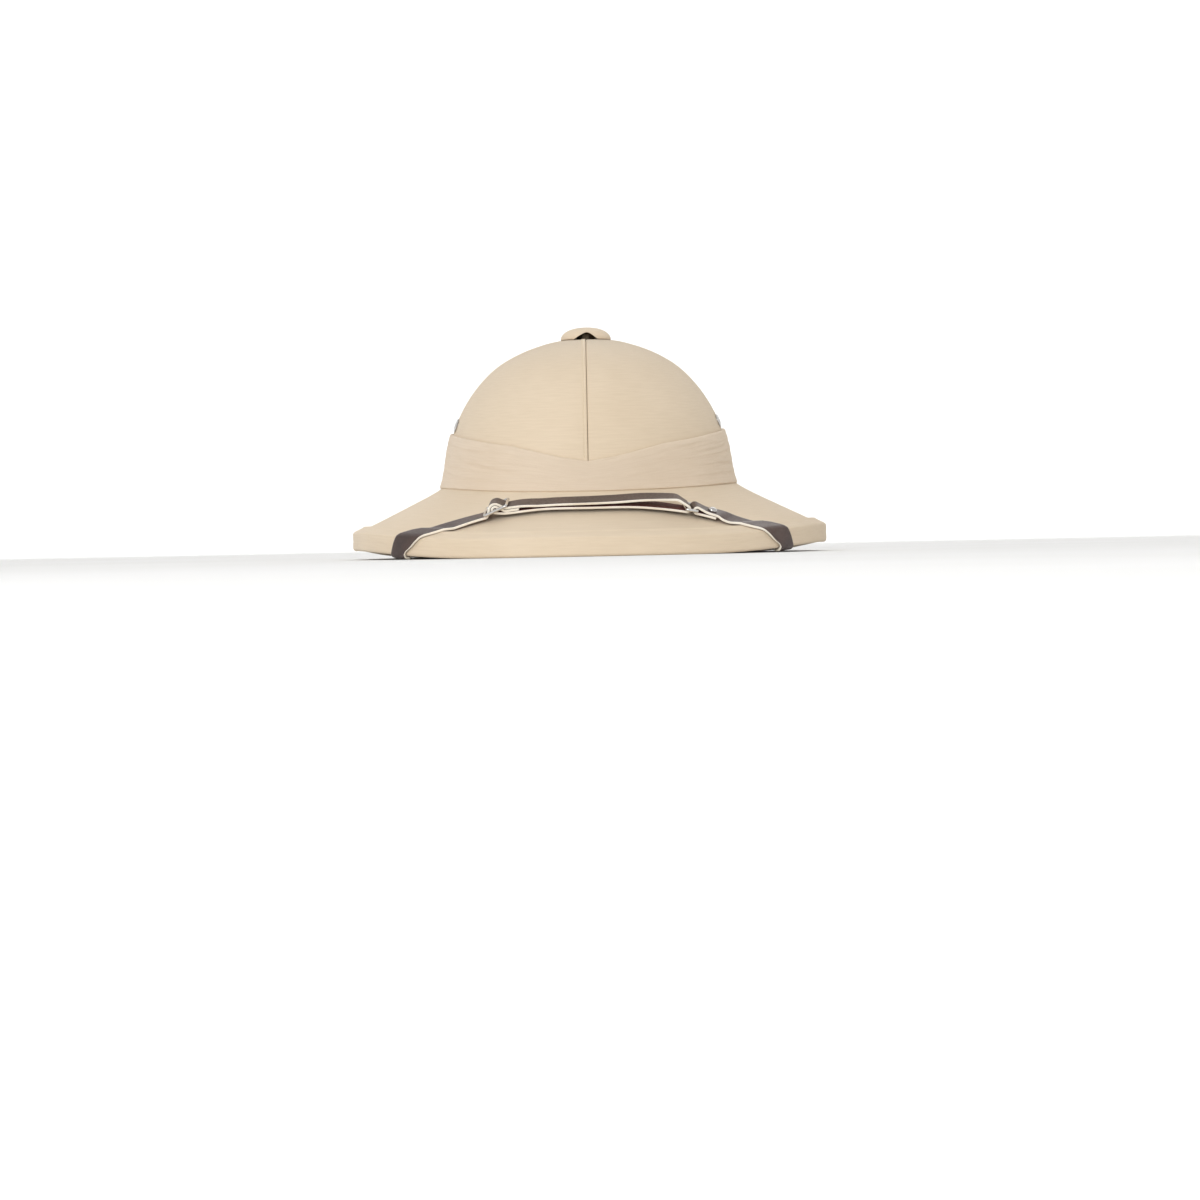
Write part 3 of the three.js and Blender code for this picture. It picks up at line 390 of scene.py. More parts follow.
def prism(name, ends):
    count = len(ends[0])
    faces = [list(range(count)), [count + k for k in reversed(range(count))]]
    for k in range(count):
        n = (k + 1) % count
        faces.append([k, count + k, count + n, n])
    return closed_mesh(name, np.vstack(ends), faces, [COVER_CLOTH])


def combine(obj, others, operation="DIFFERENCE", solver="MANIFOLD"):
    """The object with others cut out of it, or joined to it."""
    for other in others:
        step = obj.modifiers.new(other.name, "BOOLEAN")
        step.operation, step.solver, step.object = operation, solver, other
    graph = bpy.context.evaluated_depsgraph_get()
    old, obj_mesh = obj.data, bpy.data.meshes.new_from_object(obj.evaluated_get(graph))
    obj.modifiers.clear()
    obj.data = obj_mesh
    bpy.data.meshes.remove(old)
    return obj


def remove(objects):
    for obj in objects:
        bpy.data.objects.remove(obj)


# Materials


class Shader:
    """A node material, with short ways to add nodes."""

    def __init__(self, name):
        self.material = bpy.data.materials.new(name)
        self.material.use_nodes = True
        self.tree = self.material.node_tree
        self.bsdf = self.tree.nodes["Principled BSDF"]

    def feed(self, node, inputs):
        for key, value in inputs.items():
            if isinstance(value, bpy.types.NodeSocket):
                self.tree.links.new(value, node.inputs[key])
            else:
                node.inputs[key].default_value = value

    def add(self, kind, inputs, **settings):
        node = self.tree.nodes.new(kind)
        for key, value in settings.items():
            setattr(node, key, value)
        self.feed(node, inputs)
        return node

    def place(self):
        return self.add("ShaderNodeTexCoord", {}).outputs["Object"]

    def stretch(self, place, scale):
        return self.add("ShaderNodeMapping", {"Vector": place, "Scale": scale}).outputs[0]

    def math(self, operation, a, b=0.0, c=0.0):
        return self.add("ShaderNodeMath", {0: a, 1: b, 2: c}, operation=operation).outputs[0]

    def tint(self, share, colour, shade):
        """From the colour to the shade, both given as 0-255 values."""
        inputs = {0: share, 6: linear(*colour), 7: linear(*shade)}
        return self.add("ShaderNodeMix", inputs, data_type="RGBA").outputs[2]

    def cells(self, place, scale):
        return self.add("ShaderNodeTexVoronoi", {"Vector": place, "Scale": scale}).outputs["Distance"]

    def noise(self, place, scale, detail=3, roughness=0.5):
        return self.add(
            "ShaderNodeTexNoise",
            {"Vector": place, "Scale": scale, "Detail": detail, "Roughness": roughness},
        ).outputs["Fac"]

    def range(self, value, low, high, to_low=0.0, to_high=1.0):
        return self.add(
            "ShaderNodeMapRange",
            {"Value": value, "From Min": low, "From Max": high, "To Min": to_low, "To Max": to_high},
        ).outputs["Result"]

    def bump(self, height, distance, strength=1.0, below=None):
        inputs = {"Height": height, "Distance": distance, "Strength": strength}
        if below is not None:
            inputs["Normal"] = below
        return self.add("ShaderNodeBump", inputs).outputs["Normal"]

    def set(self, **sockets):
        self.feed(self.bsdf, {key.replace("_", " "): value for key, value in sockets.items()})


def linear(r, g, b):
    """A linear colour from the 0-255 values of a screen colour."""

    def one(c):
        c /= 255
        return c / 12.92 if c <= 0.04045 else ((c + 0.055) / 1.055) ** 2.4

    return (one(r), one(g), one(b), 1.0)


def weave_of(shader, pitch):
    """Twill lines of a woven cloth from its flat coordinates: (height, place)."""
    uv = shader.add("ShaderNodeUVMap", {}, uv_map="cloth").outputs["UV"]
    spread = shader.add("ShaderNodeSeparateXYZ", {"Vector": uv})
    u, v = spread.outputs[0], spread.outputs[1]
    wobble = shader.math("MULTIPLY", shader.noise(uv, 900, 1), 0.35)
    turns = 2 * math.pi / (pitch * MM)
    diagonal = shader.math("MULTIPLY_ADD", shader.math("ADD", u, v), turns, wobble)
    warp = shader.math("MULTIPLY", u, turns * 2)
    weft = shader.math("MULTIPLY", v, turns * 2)
    twill = shader.math("SINE", diagonal)
    plain = shader.math("MULTIPLY", shader.math("SINE", warp), shader.math("SINE", weft))
    height = shader.math("MULTIPLY_ADD", plain, 0.4, twill)
    return height, uv


def cloth(name, colour, shade, pitch=0.8, relief=0.05, patch=0.5, fuzz=0.2):
    shader = Shader(name)
    height, uv = weave_of(shader, pitch)
    place = shader.place()
    broad = shader.noise(place, 9, 3)
    slub = shader.noise(shader.stretch(uv, (60, 900, 1)), 1, 2)
    # Painted shade: where the weave lies low, its colour goes towards the shade colour, so the
    # grooves are darker. The patches and slubs below are the cloth's own uneven tone.
    share = shader.range(height, -1.4, 1.4, 0.28, 0.0)
    share = shader.math("MULTIPLY_ADD", shader.range(broad, 0.3, 0.7, -0.5, 0.5), patch, share)
    share = shader.math("MULTIPLY_ADD", shader.range(slub, 0.35, 0.65, -0.5, 0.5), 0.22, share)
    share = shader.add("ShaderNodeClamp", {"Value": shader.math("ADD", share, 0.15)}).outputs[0]
    fine = shader.bump(height, relief * MM, 0.8)
    soft = shader.bump(shader.noise(place, 55, 2), 0.35 * MM, 0.35, fine)
    shader.set(
        Base_Color=shader.tint(share, colour, shade),
        Roughness=shader.range(broad, 0.3, 0.7, 0.8, 0.92),
        Normal=soft,
        Sheen_Weight=fuzz,
        Sheen_Roughness=0.45,
        Specular_IOR_Level=0.25,
    )
    return shader.material


def leather(name, colour, shade, roughness, grain=0.08, coat=0.0):
    shader = Shader(name)
    place = shader.place()
    broad = shader.noise(place, 45, 4, 0.6)
    fibre = shader.noise(place, 700, 3)
    height = shader.math("MULTIPLY_ADD", fibre, 0.6, shader.cells(place, 1500))
    shader.set(
        Base_Color=shader.tint(shader.range(broad, 0.35, 0.65), colour, shade),
        Roughness=shader.range(fibre, 0.3, 0.7, roughness - 0.08, roughness + 0.08),
        Normal=shader.bump(height, grain * MM, 0.6),
        Coat_Weight=coat,
        Coat_Roughness=0.3,
    )
    return shader.material


def metal(name, colour, roughness):
    shader = Shader(name)
    place = shader.place()
    scratch = shader.noise(shader.stretch(place, (300, 2500, 900)), 1, 3)
    stain = shader.range(shader.noise(place, 160, 3), 0.45, 0.75)
    shader.set(
        Base_Color=shader.tint(stain, colour, [c * 0.8 for c in colour]),
        Metallic=1.0,
        Roughness=shader.math(
            "MULTIPLY_ADD", shader.range(scratch, 0.3, 0.7, -0.5, 0.5), 0.12, roughness),
        Normal=shader.bump(scratch, 0.01 * MM, 0.4),
    )
    return shader.material


def pith(name, colour, shade):
    shader = Shader(name)
    place = shader.place()
    broad = shader.noise(place, 30, 5, 0.6)
    cell = shader.cells(place, 420)
    shader.set(
        Base_Color=shader.tint(shader.range(broad, 0.35, 0.65), colour, shade),
        Roughness=shader.range(cell, 0, 0.8, 0.85, 0.98),
        Normal=shader.bump(shader.math("MULTIPLY_ADD", broad, 2.0, cell), 0.3 * MM, 0.6),
    )
    return shader.material


COVER_CLOTH = cloth("cover_cloth", (233, 215, 190), (215, 195, 167))
BAND_CLOTH = cloth("band_cloth", (238, 220, 198), (221, 200, 174), pitch=0.6)
LINING_CLOTH = cloth("lining_cloth", (225, 212, 202), (208, 193, 183), pitch=0.5)
THREAD = cloth("thread", (228, 210, 180), (205, 184, 150), pitch=0.4)
GRAIN = leather("strap_grain", (80, 60, 53), (58, 43, 40), 0.42, coat=0.08)
FLESH = leather("strap_flesh", (122, 66, 60), (98, 50, 46), 0.7, grain=0.12)
CUT = leather("strap_cut_edge", (255, 250, 238), (244, 232, 214), 0.65, grain=0.1)
STEEL = metal("plated_steel", (226, 224, 222), 0.2)
POST_STEEL = metal("dulled_steel", (128, 118, 102), 0.5)
PITH = pith("pith", (196, 178, 150), (176, 156, 126))


# Shell and cloth

# Parts of each span of an outline, sections round the helmet, and points over which waves fade out
SPAN_PARTS, TURNS, EDGE_FADE = 6, 180, 4


def dense_face(azimuth, depth, first, last=None):
    """The smooth outline at a depth between two of its stations."""
    line = smooth_curve(outline_at(azimuth, depth), SPAN_PARTS)
    stop = None if last is None else last * SPAN_PARTS + 1
    return line[first * SPAN_PARTS:stop]


def ripple(points, size, reach):
    """Small uneven waves of cloth: how far each point stands off, from -size to size."""
    return size * np.array([noise.noise(Vector(p / reach)) for p in points])


def cloth_layer(azimuth, outer, inner, first, last=None, wave=0.15, reach=28):
    face = dense_face(azimuth, outer, first, last)
    back = dense_face(azimuth, inner, first, last)
    lift = ripple(in_space(azimuth, face), wave, reach)
    ends = np.minimum(np.arange(len(face)), np.arange(len(face))[::-1]) / EDGE_FADE
    face = face + (lift * np.minimum(ends, 1))[:, None] * normals_of(face)
    return in_space(azimuth, np.vstack([face, back[::-1]]))


def eyelet_seat(azimuth):
    height = band_top(azimuth) + EYELET_RISE + EYELET_DIAMETER / 2

    def at(turn, rise):
        r = crown_face(azimuth + turn, height + rise)
        return in_space(azimuth + turn, [[r, height + rise]])[0]

    swing = EYELET_HOLE / CROWN_WIDTH
    across = at(swing, 0) - at(-swing, 0)
    up = at(0, EYELET_HOLE) - at(0, -EYELET_HOLE)
    return at(0, 0), unit(np.cross(across, up))


def crown_face(azimuth, height):
    foot = foot_height(azimuth)
    share = (height - foot) / (CROWN_TOP - foot)
    return foot_radius(azimuth) * np.interp(share, [0, *CROWN_RISE], [1, *CROWN_REACH])


def band_top(azimuth):
    climb = np.interp(from_front(azimuth), BAND_AZIMUTH, BAND_CLIMB)
    return foot_height(azimuth) + lerp(PUGGAREE_FRONT, PUGGAREE_SIDE, climb)


EYELETS = [
    ("eyelet_right_front", math.radians(-90 + EYELET_SPREAD)),
    ("eyelet_right_back", math.radians(-90 - EYELET_SPREAD)),
    ("eyelet_left_front", math.radians(90 - EYELET_SPREAD)),
    ("eyelet_left_back", math.radians(90 + EYELET_SPREAD)),
]
BARREL = EYELET_HOLE / 2 + EYELET_WALL


def eyelet_cutters():
    reach = 2 * (CROWN_DEPTH + CROWN_PITH)
    cutters = []
    for name, azimuth in EYELETS:
        place, outward = eyelet_seat(azimuth)
        circle = (BARREL + GAP) * spokes(outward, 24)[1]
        ends = [place + off * outward + circle for off in (-reach, reach)]
        cutters.append(prism(name + "_cutter", ends))
    return cutters


def add_eyelets():
    bore, flange = EYELET_HOLE / 2, EYELET_DIAMETER / 2
    end = CROWN_DEPTH + CROWN_PITH
    for name, azimuth in EYELETS:
        place, outward = eyelet_seat(azimuth)
        ring = [
            (bore, -end), (BARREL, -end), (BARREL, FLANGE_GAP), (flange - 0.15, FLANGE_GAP),
            (flange, FLANGE_GAP + 0.18), (flange - 0.12, FLANGE_GAP + 0.45),
            (flange - 0.5, FLANGE_GAP + 0.72), (flange - 1.0, FLANGE_GAP + 0.86),
            (bore + 0.75, FLANGE_GAP + 0.82), (bore + 0.3, FLANGE_GAP + 0.55), (bore, FLANGE_GAP),
        ]
        piece = lathe(name + "_rolled", ring, 40, [STEEL], place, outward)
        finish_mesh(piece, [name], 60)


def add_shell(cutters):
    sections = []
    for azimuth in turns(120):
        out = dense_face(azimuth, CROWN_DEPTH, 0)
        crown = dense_face(azimuth, CROWN_DEPTH + CROWN_PITH, 0)
        brim = dense_face(azimuth, CROWN_DEPTH + BRIM_PITH, 0)
        share = np.clip((np.arange(len(out)) / SPAN_PARTS - SEAM + 2) / 3, 0, 1)[:, None]
        back = lerp(crown, brim, share)
        sections.append(in_space(azimuth, np.vstack([out, back[::-1]])))
    shell = combine(sweep("pith_body", sections, [PITH], True), cutters)
    finish_mesh(shell, ["shell"])


def seam_turns():
    """Azimuths of one panel of the crown's cover, closer together at both seams."""
    close = [0, 0.15, 0.3, 0.5, 0.8, 1.2, 1.8]
    inner = np.linspace(2.5, 177.5, 88).tolist()
    return [*close, *inner, *[180 - c for c in reversed(close)]]


# How deep each panel is tucked in at the seams, and how far from them
TUCK, TUCK_REACH = 0.5, 0.35


def add_crown_covers(cutters):
    for name, side in (("left", 1), ("right", -1)):
        sections = []
        for turn in seam_turns():
            azimuth = side * math.radians(turn)
            section = cloth_layer(azimuth, 0, COVER, 0, SEAM - 1)
            section[:, 0] = side * np.maximum(side * section[:, 0], GAP / 2)
            tuck = TUCK * np.exp(-(np.abs(section[:, 0]) - GAP / 2) / TUCK_REACH)
            middle = len(section) // 2
            inward = unit(section[::-1] - section)
            section[:middle] += tuck[:middle, None] * inward[:middle]
            sections.append(section)
        lengths = np.radians(seam_turns()) * CROWN_LENGTH / 2
        panel = sweep(f"crown_panel_{name}", sections, [COVER_CLOTH], False, np.append(lengths, 0))
        finish_mesh(combine(panel, cutters), [f"crown_cover_{name}"])


def add_brim():
    under = (BRIM_DEPTH - LINING, BRIM_DEPTH, SEAM + 1, None, 0.05)
    for name, node, slot, material, layer in (
        ("brim_cloth", "brim_cover", "cover_cloth", COVER_CLOTH, (0, COVER, SEAM)),
        ("brim_under_cloth", "brim_lining", "lining_cloth", LINING_CLOTH, under),
    ):
        sections = [cloth_layer(azimuth, *layer) for azimuth in turns(TURNS)]
        finish_mesh(sweep(name, sections, [material], True), [node])


def brim_face(azimuth, depth, inset, off):
    outline = outline_at(azimuth, depth)
    last, before = outline[-1], outline[-2]
    r = rim_radius(azimuth) - inset
    height = lerp(last[1], before[1], (last[0] - r) / (last[0] - before[0]))
    return np.array([r, height + off * SLANT])


def binding_face(azimuth):
    rim, floor = rim_radius(azimuth), rim_height(azimuth)
    top = brim_face(azimuth, 0, EDGE_INSET, EDGE_INSET)[1]
    pitch = math.tan(math.radians(BRIM_PITCH))
    return [
        brim_face(azimuth, 0, EDGE_INSET + BINDING_LAP, EDGE_INSET),
        np.array([rim - BINDING_CORNER, top - (EDGE_INSET - BINDING_CORNER) * pitch]),
        np.array([rim, top - BINDING_CORNER]),
        np.array([rim, floor + BINDING_CORNER]),
        np.array([rim - BINDING_CORNER, floor]),
        np.array([rim - BINDING_CORNER - BINDING_LAND, floor]),
        brim_face(azimuth, BRIM_DEPTH, EDGE_INSET + BINDING_LAP, -EDGE_INSET),
    ]


# The most of a side that the arc in place of its corner takes up
BEND_SHARE = 0.45


def round_corners(points, reach, parts=4):
    """An open outline with each inner corner turned into a small arc."""
    points = [np.asarray(p, float) for p in points]
    made = [points[0]]
    for before, corner, after in zip(points, points[1:], points[2:]):
        size = min(reach, *[BEND_SHARE * np.linalg.norm(p - corner) for p in (before, after)])
        made.extend(bend(before, corner, after, (size, size), parts))
    return np.array([*made, points[-1]])


def split_long(points, step):
    made = [points[0]]
    for a, b in zip(points, points[1:]):
        count = max(1, int(np.ceil(np.linalg.norm(b - a) / step)))
        made.extend(lerp(a, b, k / count) for k in range(1, count + 1))
    return np.array(made)


# The binding's rounding, the bead along its upper edge, where its cloth is turned under, its waves,
# and the groove round its edge, whose place is a share of the edge's height
BINDING_BEND, BINDING_STEP = 1.4, 0.9
BEAD, BEAD_REACH = 0.35, 1.2
BINDING_WAVE, BINDING_WAVE_REACH = 0.12, 11
GROOVE_PLACE, GROOVE_DEPTH, GROOVE_REACH, GROOVE_ZONE = 0.52, 0.22, 0.5, 0.8


def add_binding():
    sections = []
    for azimuth in turns(240):
        edge = rim_radius(azimuth) - BINDING
        upper = brim_face(azimuth, 0, EDGE_INSET, GAP)[1]
        lower = brim_face(azimuth, BRIM_DEPTH, EDGE_INSET, -GAP)[1]
        top = brim_face(azimuth, 0, EDGE_INSET + BINDING_LAP, GAP)
        under = brim_face(azimuth, BRIM_DEPTH, EDGE_INSET + BINDING_LAP, -GAP)
        outer = binding_face(azimuth)
        line = split_long(round_corners([top, *outer, under], BINDING_BEND), BINDING_STEP)
        wave = ripple(in_space(azimuth, line), BINDING_WAVE, BINDING_WAVE_REACH)
        groove_height = lerp(outer[3][1], outer[2][1], GROOVE_PLACE)
        groove = GROOVE_DEPTH * np.exp(-((line[:, 1] - groove_height) / GROOVE_REACH) ** 2)
        groove *= line[:, 0] > rim_radius(azimuth) - GROOVE_ZONE
        bead = BEAD * np.exp(-(np.linalg.norm(line - outer[0], axis=1) / BEAD_REACH) ** 2)
        line = line + (wave - groove + bead)[:, None] * normals_of(line)
        line[:, 1] = np.maximum(line[:, 1], rim_height(azimuth))
        inner = [[edge - GAP, lower], [edge, lower + GAP], [edge, upper - GAP], [edge - GAP, upper]]
        sections.append(in_space(azimuth, np.vstack([line, inner])))
    binding = sweep("edge_binding_cloth", sections, [COVER_CLOTH], True)
    finish_mesh(binding, ["edge_binding"])


# The puggaree

BAND_ROWS, BAND_TURNS = 64, 360

# Creases: degrees from the front (the wearer's left is positive) and share of the band's height, at
# each end, then depth and width
CREASES = [
    (-58, 0.52, -24, 0.40, 0.55, 1.3),
    (-80, 0.30, -58, 0.22, 0.35, 1.2),
    (-66, 0.76, -34, 0.74, 0.22, 1.0),
    (4, 0.90, 14, 0.97, 0.28, 0.8),
    (24, 0.82, 52, 0.88, 0.35, 0.9),
    (40, 0.66, 74, 0.72, 0.40, 1.0),
    (20, 0.60, 34, 0.66, 0.18, 1.2),
    (58, 0.36, 92, 0.30, 0.30, 1.2),
    (100, 0.55, 140, 0.62, 0.45, 1.2),
    (150, 0.30, 195, 0.36, 0.40, 1.2),
    (205, 0.70, 240, 0.62, 0.45, 1.1),
    (245, 0.42, 270, 0.48, 0.35, 1.2),
]

# How far the folds open: degrees from the front and share of their step
OPEN_AZIMUTH = [0, 15, 50, 90, 180]
OPEN_FOLDS = [0.1, 0.12, 0.42, 0.6, 0.6]

# How far the folds wander up and down, the height of the waves and of the fine streaks, how many of
# them there are round and up the band, and the share of a fold in which it rises
DRIFT, WAVE, STREAK = 0.028, 0.12, 0.45
WAVES_ROUND, WAVES_UP, STREAKS_ROUND, STREAKS_UP = 5, 6, 9, 26
FOLD_RISE, BAND_EDGE = 0.14, 0.8


def crease_depth(degrees, share, height):
    total = 0.0
    for start, low, end, high, depth, width in CREASES:
        across = (degrees - start) / (end - start)
        if not 0 < across < 1:
            continue
        away = (share - lerp(low, high, across)) * height / width
        fade = math.sin(math.pi * across) ** 0.7
        total += depth * fade * (math.exp(-away ** 2) - 0.5 * math.exp(-(away - 2) ** 2))
    return total


def band_profile(share):
    """How far the folds stand out at a share of the band's height, 0 to 1 within each fold."""
    within = 1 if share >= 1 else share * PLEATS - math.floor(share * PLEATS)
    return smoothstep(within, 0, FOLD_RISE) * (1 - within)


def band_section(azimuth):
    out = GAP + PUGGAREE_THICKNESS
    seat = brim_top(azimuth, out / (rim_radius(azimuth) - foot_radius(azimuth)))
    bottom = seat[1] + PUGGAREE_SEAT * SLANT
    top = band_top(azimuth)
    height = top - bottom
    degrees = (math.degrees(azimuth) + 90) % 360 - 90
    swing = np.array([math.cos(azimuth), math.sin(azimuth), 0])
    uneven = 0.8 + 0.5 * noise.noise(Vector(swing * 1.7 + np.array([0, 0, 4])))
    opening = uneven * np.interp(from_front(azimuth), OPEN_AZIMUTH, OPEN_FOLDS)
    face = []
    for share in np.linspace(0, 1, BAND_ROWS):
        place = Vector((*(swing[:2] * 5), share * 7))
        drift = DRIFT * noise.noise(place * 0.6)
        fold = band_profile(min(max(share + drift * (1 - share) * share * 4, 0), 1))
        waves = WAVE * noise.noise(Vector((*(swing[:2] * WAVES_ROUND), share * WAVES_UP)))
        streaks = noise.noise(Vector((*(swing[:2] * STREAKS_ROUND), share * STREAKS_UP)))
        off = out - PLEAT_STEP * (1 - fold * opening) + waves + STREAK * opening * streaks
        off -= crease_depth(degrees, share, height)
        short = max(BAND_EDGE - min(share, 1 - share) * height, 0)
        off -= BAND_EDGE - math.sqrt(BAND_EDGE ** 2 - short ** 2)
        z = bottom + share * height
        face.append([crown_face_smooth(azimuth, z) + off, z])
    back = []
    for share in np.linspace(1, 0, 12):
        z = lerp(bottom + 0.6, top - 0.4, share)
        back.append([crown_face_smooth(azimuth, z) + GAP, z])
    return in_space(azimuth, face + back)


FACE_CACHE = {}


def crown_face_smooth(azimuth, height):
    """The radius of the cover's smooth face at a height."""
    key = round(azimuth, 6)
    if key not in FACE_CACHE:
        FACE_CACHE[key] = dense_face(azimuth, 0, 2, SEAM - 1)[::-1]
    line = FACE_CACHE[key]
    if height < line[0, 1]:
        slope = (line[1, 0] - line[0, 0]) / (line[1, 1] - line[0, 1])
        return line[0, 0] + slope * (height - line[0, 1])
    return float(np.interp(height, line[:, 1], line[:, 0]))


def add_puggaree():
    sections = [band_section(a) for a in turns(BAND_TURNS)]
    band = sweep("puggaree_folds", sections, [BAND_CLOTH], True)
    finish_mesh(band, ["puggaree"], 50)


# Seam of the crown

# The strip's cross-section, from the seam towards the wearer's right, and out of the cover's face
STRIP = [
    (-0.25, -0.3), (-0.3, 0.2), (-0.8, 0.34), (-1.6, 0.3), (-2.3, 0.3), (-2.7, 0.16), (-2.85, -0.3)
]
STRIP_TUCK, STITCH_ROWS, STITCH_HEIGHT, STITCH_START, STITCH_END = 3, (-0.75, -2.2), 0.3, 1.5, 1
STITCH_LENGTH, STITCH_PITCH, STITCH_RADIUS = 2.0, 2.8, 0.17

# Place along a stitch, and share of its radius there
STITCH = [(-0.5, 0.15), (-0.42, 0.75), (-0.25, 1), (0.25, 1), (0.42, 0.75), (0.5, 0.15)]


def add_seams():
    for name, azimuth, away in (("front", 0, -1), ("back", math.pi, 1)):
        line = dense_face(azimuth, 0, 0, SEAM - 1)
        normals = normals_of(line)
        keep = line[:, 0] > CAP_DIAMETER / 2 - STRIP_TUCK
        keep &= line[:, 1] > band_top(azimuth) - STRIP_TUCK
        line, normals = line[keep], normals[keep]
        sections = []
        for point, normal in zip(line, normals):
            section = []
            for x, h in STRIP:
                r, z = point + h * normal
                section.append([x, CROWN_Y + away * math.sqrt(r * r - x * x), z])
            sections.append([*section, (np.array(section[0]) + section[-1]) / 2])
        strip = sweep(f"crown_seam_{name}", sections, [COVER_CLOTH], False)
        finish_mesh(strip, sharp=60)
        lengths = lengths_along(line)
        on_strip = line + STITCH_HEIGHT * normals
        places = []
        for x in STITCH_ROWS:
            last = lengths[-1] - STITCH_LENGTH - STITCH_END
            for start in np.arange(STITCH_START, last, STITCH_PITCH):
                rows = [
                    [np.interp(at, lengths, column) for column in on_strip.T]
                    for at in (start, start + STITCH_LENGTH)
                ]
                places.append([[x, CROWN_Y + away * r, z] for r, z in rows])
        add_stitches(f"seam_stitches_{name}", places)


def add_stitches(name, places):
    """One mesh of many short threads, each rounded and sunk at its ends."""
    points, faces, sides = [], [], 6
    for start, end in np.array(places):
        way = end - start
        side = unit(np.cross(way, [0.21, 0.37, 0.9]))
        up = unit(np.cross(side, way))
        first = len(points)
        for share, size in STITCH:
            middle = (start + end) / 2 + share * way
            for angle in turns(sides):
                arrow = math.cos(angle) * side + math.sin(angle) * up
                points.append(middle + STITCH_RADIUS * size * arrow)
        faces.extend(ring_faces(len(STITCH), sides, first))
        faces.append([first + k for k in reversed(range(sides))])
        faces.append([first + (len(STITCH) - 1) * sides + k for k in range(sides)])
    flat = [[0, 0] for f in faces for _ in f]
    obj = make_mesh(name, np.array(points), faces, [THREAD], None, flat)
    return finish_mesh(obj, sharp=80)


# Ventilator button


def seat_drop(diameter):
    return SEAT_FALL * (diameter - VENT_BORE) / (VENT_SEAT - VENT_BORE)


CAP_BASE = CROWN_TOP + GAP - seat_drop(CAP_DIAMETER - 2 * CAP_WALL)

# The vent's arch: how blunt its peak is, how its sides bow, and how far the peak leans
ARCH_BLUNT, ARCH_POWER, ARCH_LEAN = 0.06, 1.35, 0.8


def dome(radius, height, parts):
    rows = []
    for angle in quarter(parts):
        r = radius * math.cos(angle) ** CAP_FULLNESS
        rows.append((r, height * math.sin(angle) ** CAP_FULLNESS))
    return [*rows[:-1], (0, height)]


def add_vent_cap():
    outer = dome(CAP_DIAMETER / 2, CAP_HEIGHT, 20)
    inner = dome(CAP_DIAMETER / 2 - CAP_WALL, CAP_HEIGHT - CAP_WALL, 16)[::-1]
    middle = CAP_DIAMETER / 2 - CAP_WALL / 2
    outer = [(middle - 0.5, 0), (middle + 0.4, 0.0), (CAP_DIAMETER / 2 - 0.15, 0.25), *outer[1:]]
    place = np.array([0, CROWN_Y, CAP_BASE])
    cap = lathe("vent_cap_cloth", [*inner, *outer], 96, [COVER_CLOTH], place, [0, 0, 1])
    half = CAP_ARCH_WIDTH / 2
    shape = [(-half, -2), (half, -2)]
    for share in np.linspace(1, -1, 33):
        lift = 1 - math.sqrt(share * share + ARCH_BLUNT ** 2) ** ARCH_POWER
        shape.append((half * share + ARCH_LEAN * (1 - abs(share)), CAP_ARCH_HEIGHT * max(lift, 0)))
    ends = [[(x, CROWN_Y + y, CAP_BASE + z) for x, z in shape] for y in (0, -CAP_DIAMETER)]
    cutter = prism("arch_cutter", ends)
    combine(cap, [cutter])
    remove([cutter])
    finish_mesh(cap, ["vent_cap"], 45)


# Straps

GROUND_STEP, SMOOTH_ROWS = 0.5, 4
GROUND_TURNS = np.radians(np.arange(-112, 112.01, GROUND_STEP))
GROUND_LENGTHS = np.arange(-62, 125, GROUND_STEP)


def ground_outline(azimuth):
    top = outline_at(azimuth, 0)[SEAM + 2:-1]
    under = outline_at(azimuth, BRIM_DEPTH + UNDER_ROOM)[2:-1][::-1]
    face = binding_face(azimuth)
    lap_top, edge, lap_under = face[0], face[1:-1], face[-1]
    for point in edge[:-1]:
        point[0] += RIM_ROOM
    edge[-1][1] -= RIM_ROOM
    lap_under[1] -= RIM_ROOM
    inset = EDGE_INSET + LAP_PASSED * BINDING_LAP
    top = [p for p in top if p[0] < lap_top[0] - BINDING_LAP]
    points = np.array([
        *top,
        brim_face(azimuth, 0, inset, 0),
        lap_top,
        *edge,
        lap_under,
        brim_face(azimuth, BRIM_DEPTH + UNDER_ROOM, inset, 0),
        *[p for p in under if p[0] < lap_under[0] - BINDING_LAP],
    ])
    first = len(top) + 2
    inside = [i for i, p in enumerate(points) if i > first + 6 and p[1] > foot_height(azimuth)]
    lengths = lengths_along(points)
    along = lengths - lengths[first]
    marks = [along[0], 0, along[first + 4], along[inside[0]], along[-1]]
    return points, normals_of(points), along, marks


def ground_table():
    """Places and normals of the ground over azimuth and length, smoothed where it bends."""
    table = []
    kernel = np.exp(-(np.arange(-SMOOTH_ROWS, SMOOTH_ROWS + 1) * GROUND_STEP) ** 2)
    kernel /= kernel.sum()
    for azimuth in GROUND_TURNS:
        points, normals, along, _ = ground_outline(azimuth)
        values = np.stack([
            np.interp(GROUND_LENGTHS, along, column)
            for column in (points[:, 0], points[:, 1], normals[:, 0], normals[:, 1])
        ], axis=1)
        for k, column in enumerate((points[:, 0], points[:, 1])):
            slope = (column[0] - column[1]) / (along[0] - along[1])
            outside = GROUND_LENGTHS < along[0]
            values[outside, k] = column[0] + slope * (GROUND_LENGTHS[outside] - along[0])
        for k in (2, 3):
            padded = np.pad(values[:, k], SMOOTH_ROWS, mode="edge")
            values[:, k] = np.convolve(padded, kernel, mode="valid")
        values[:, 2:] = unit(values[:, 2:])
        table.append(values)
    return np.array(table)


GROUND_TABLE = ground_table()


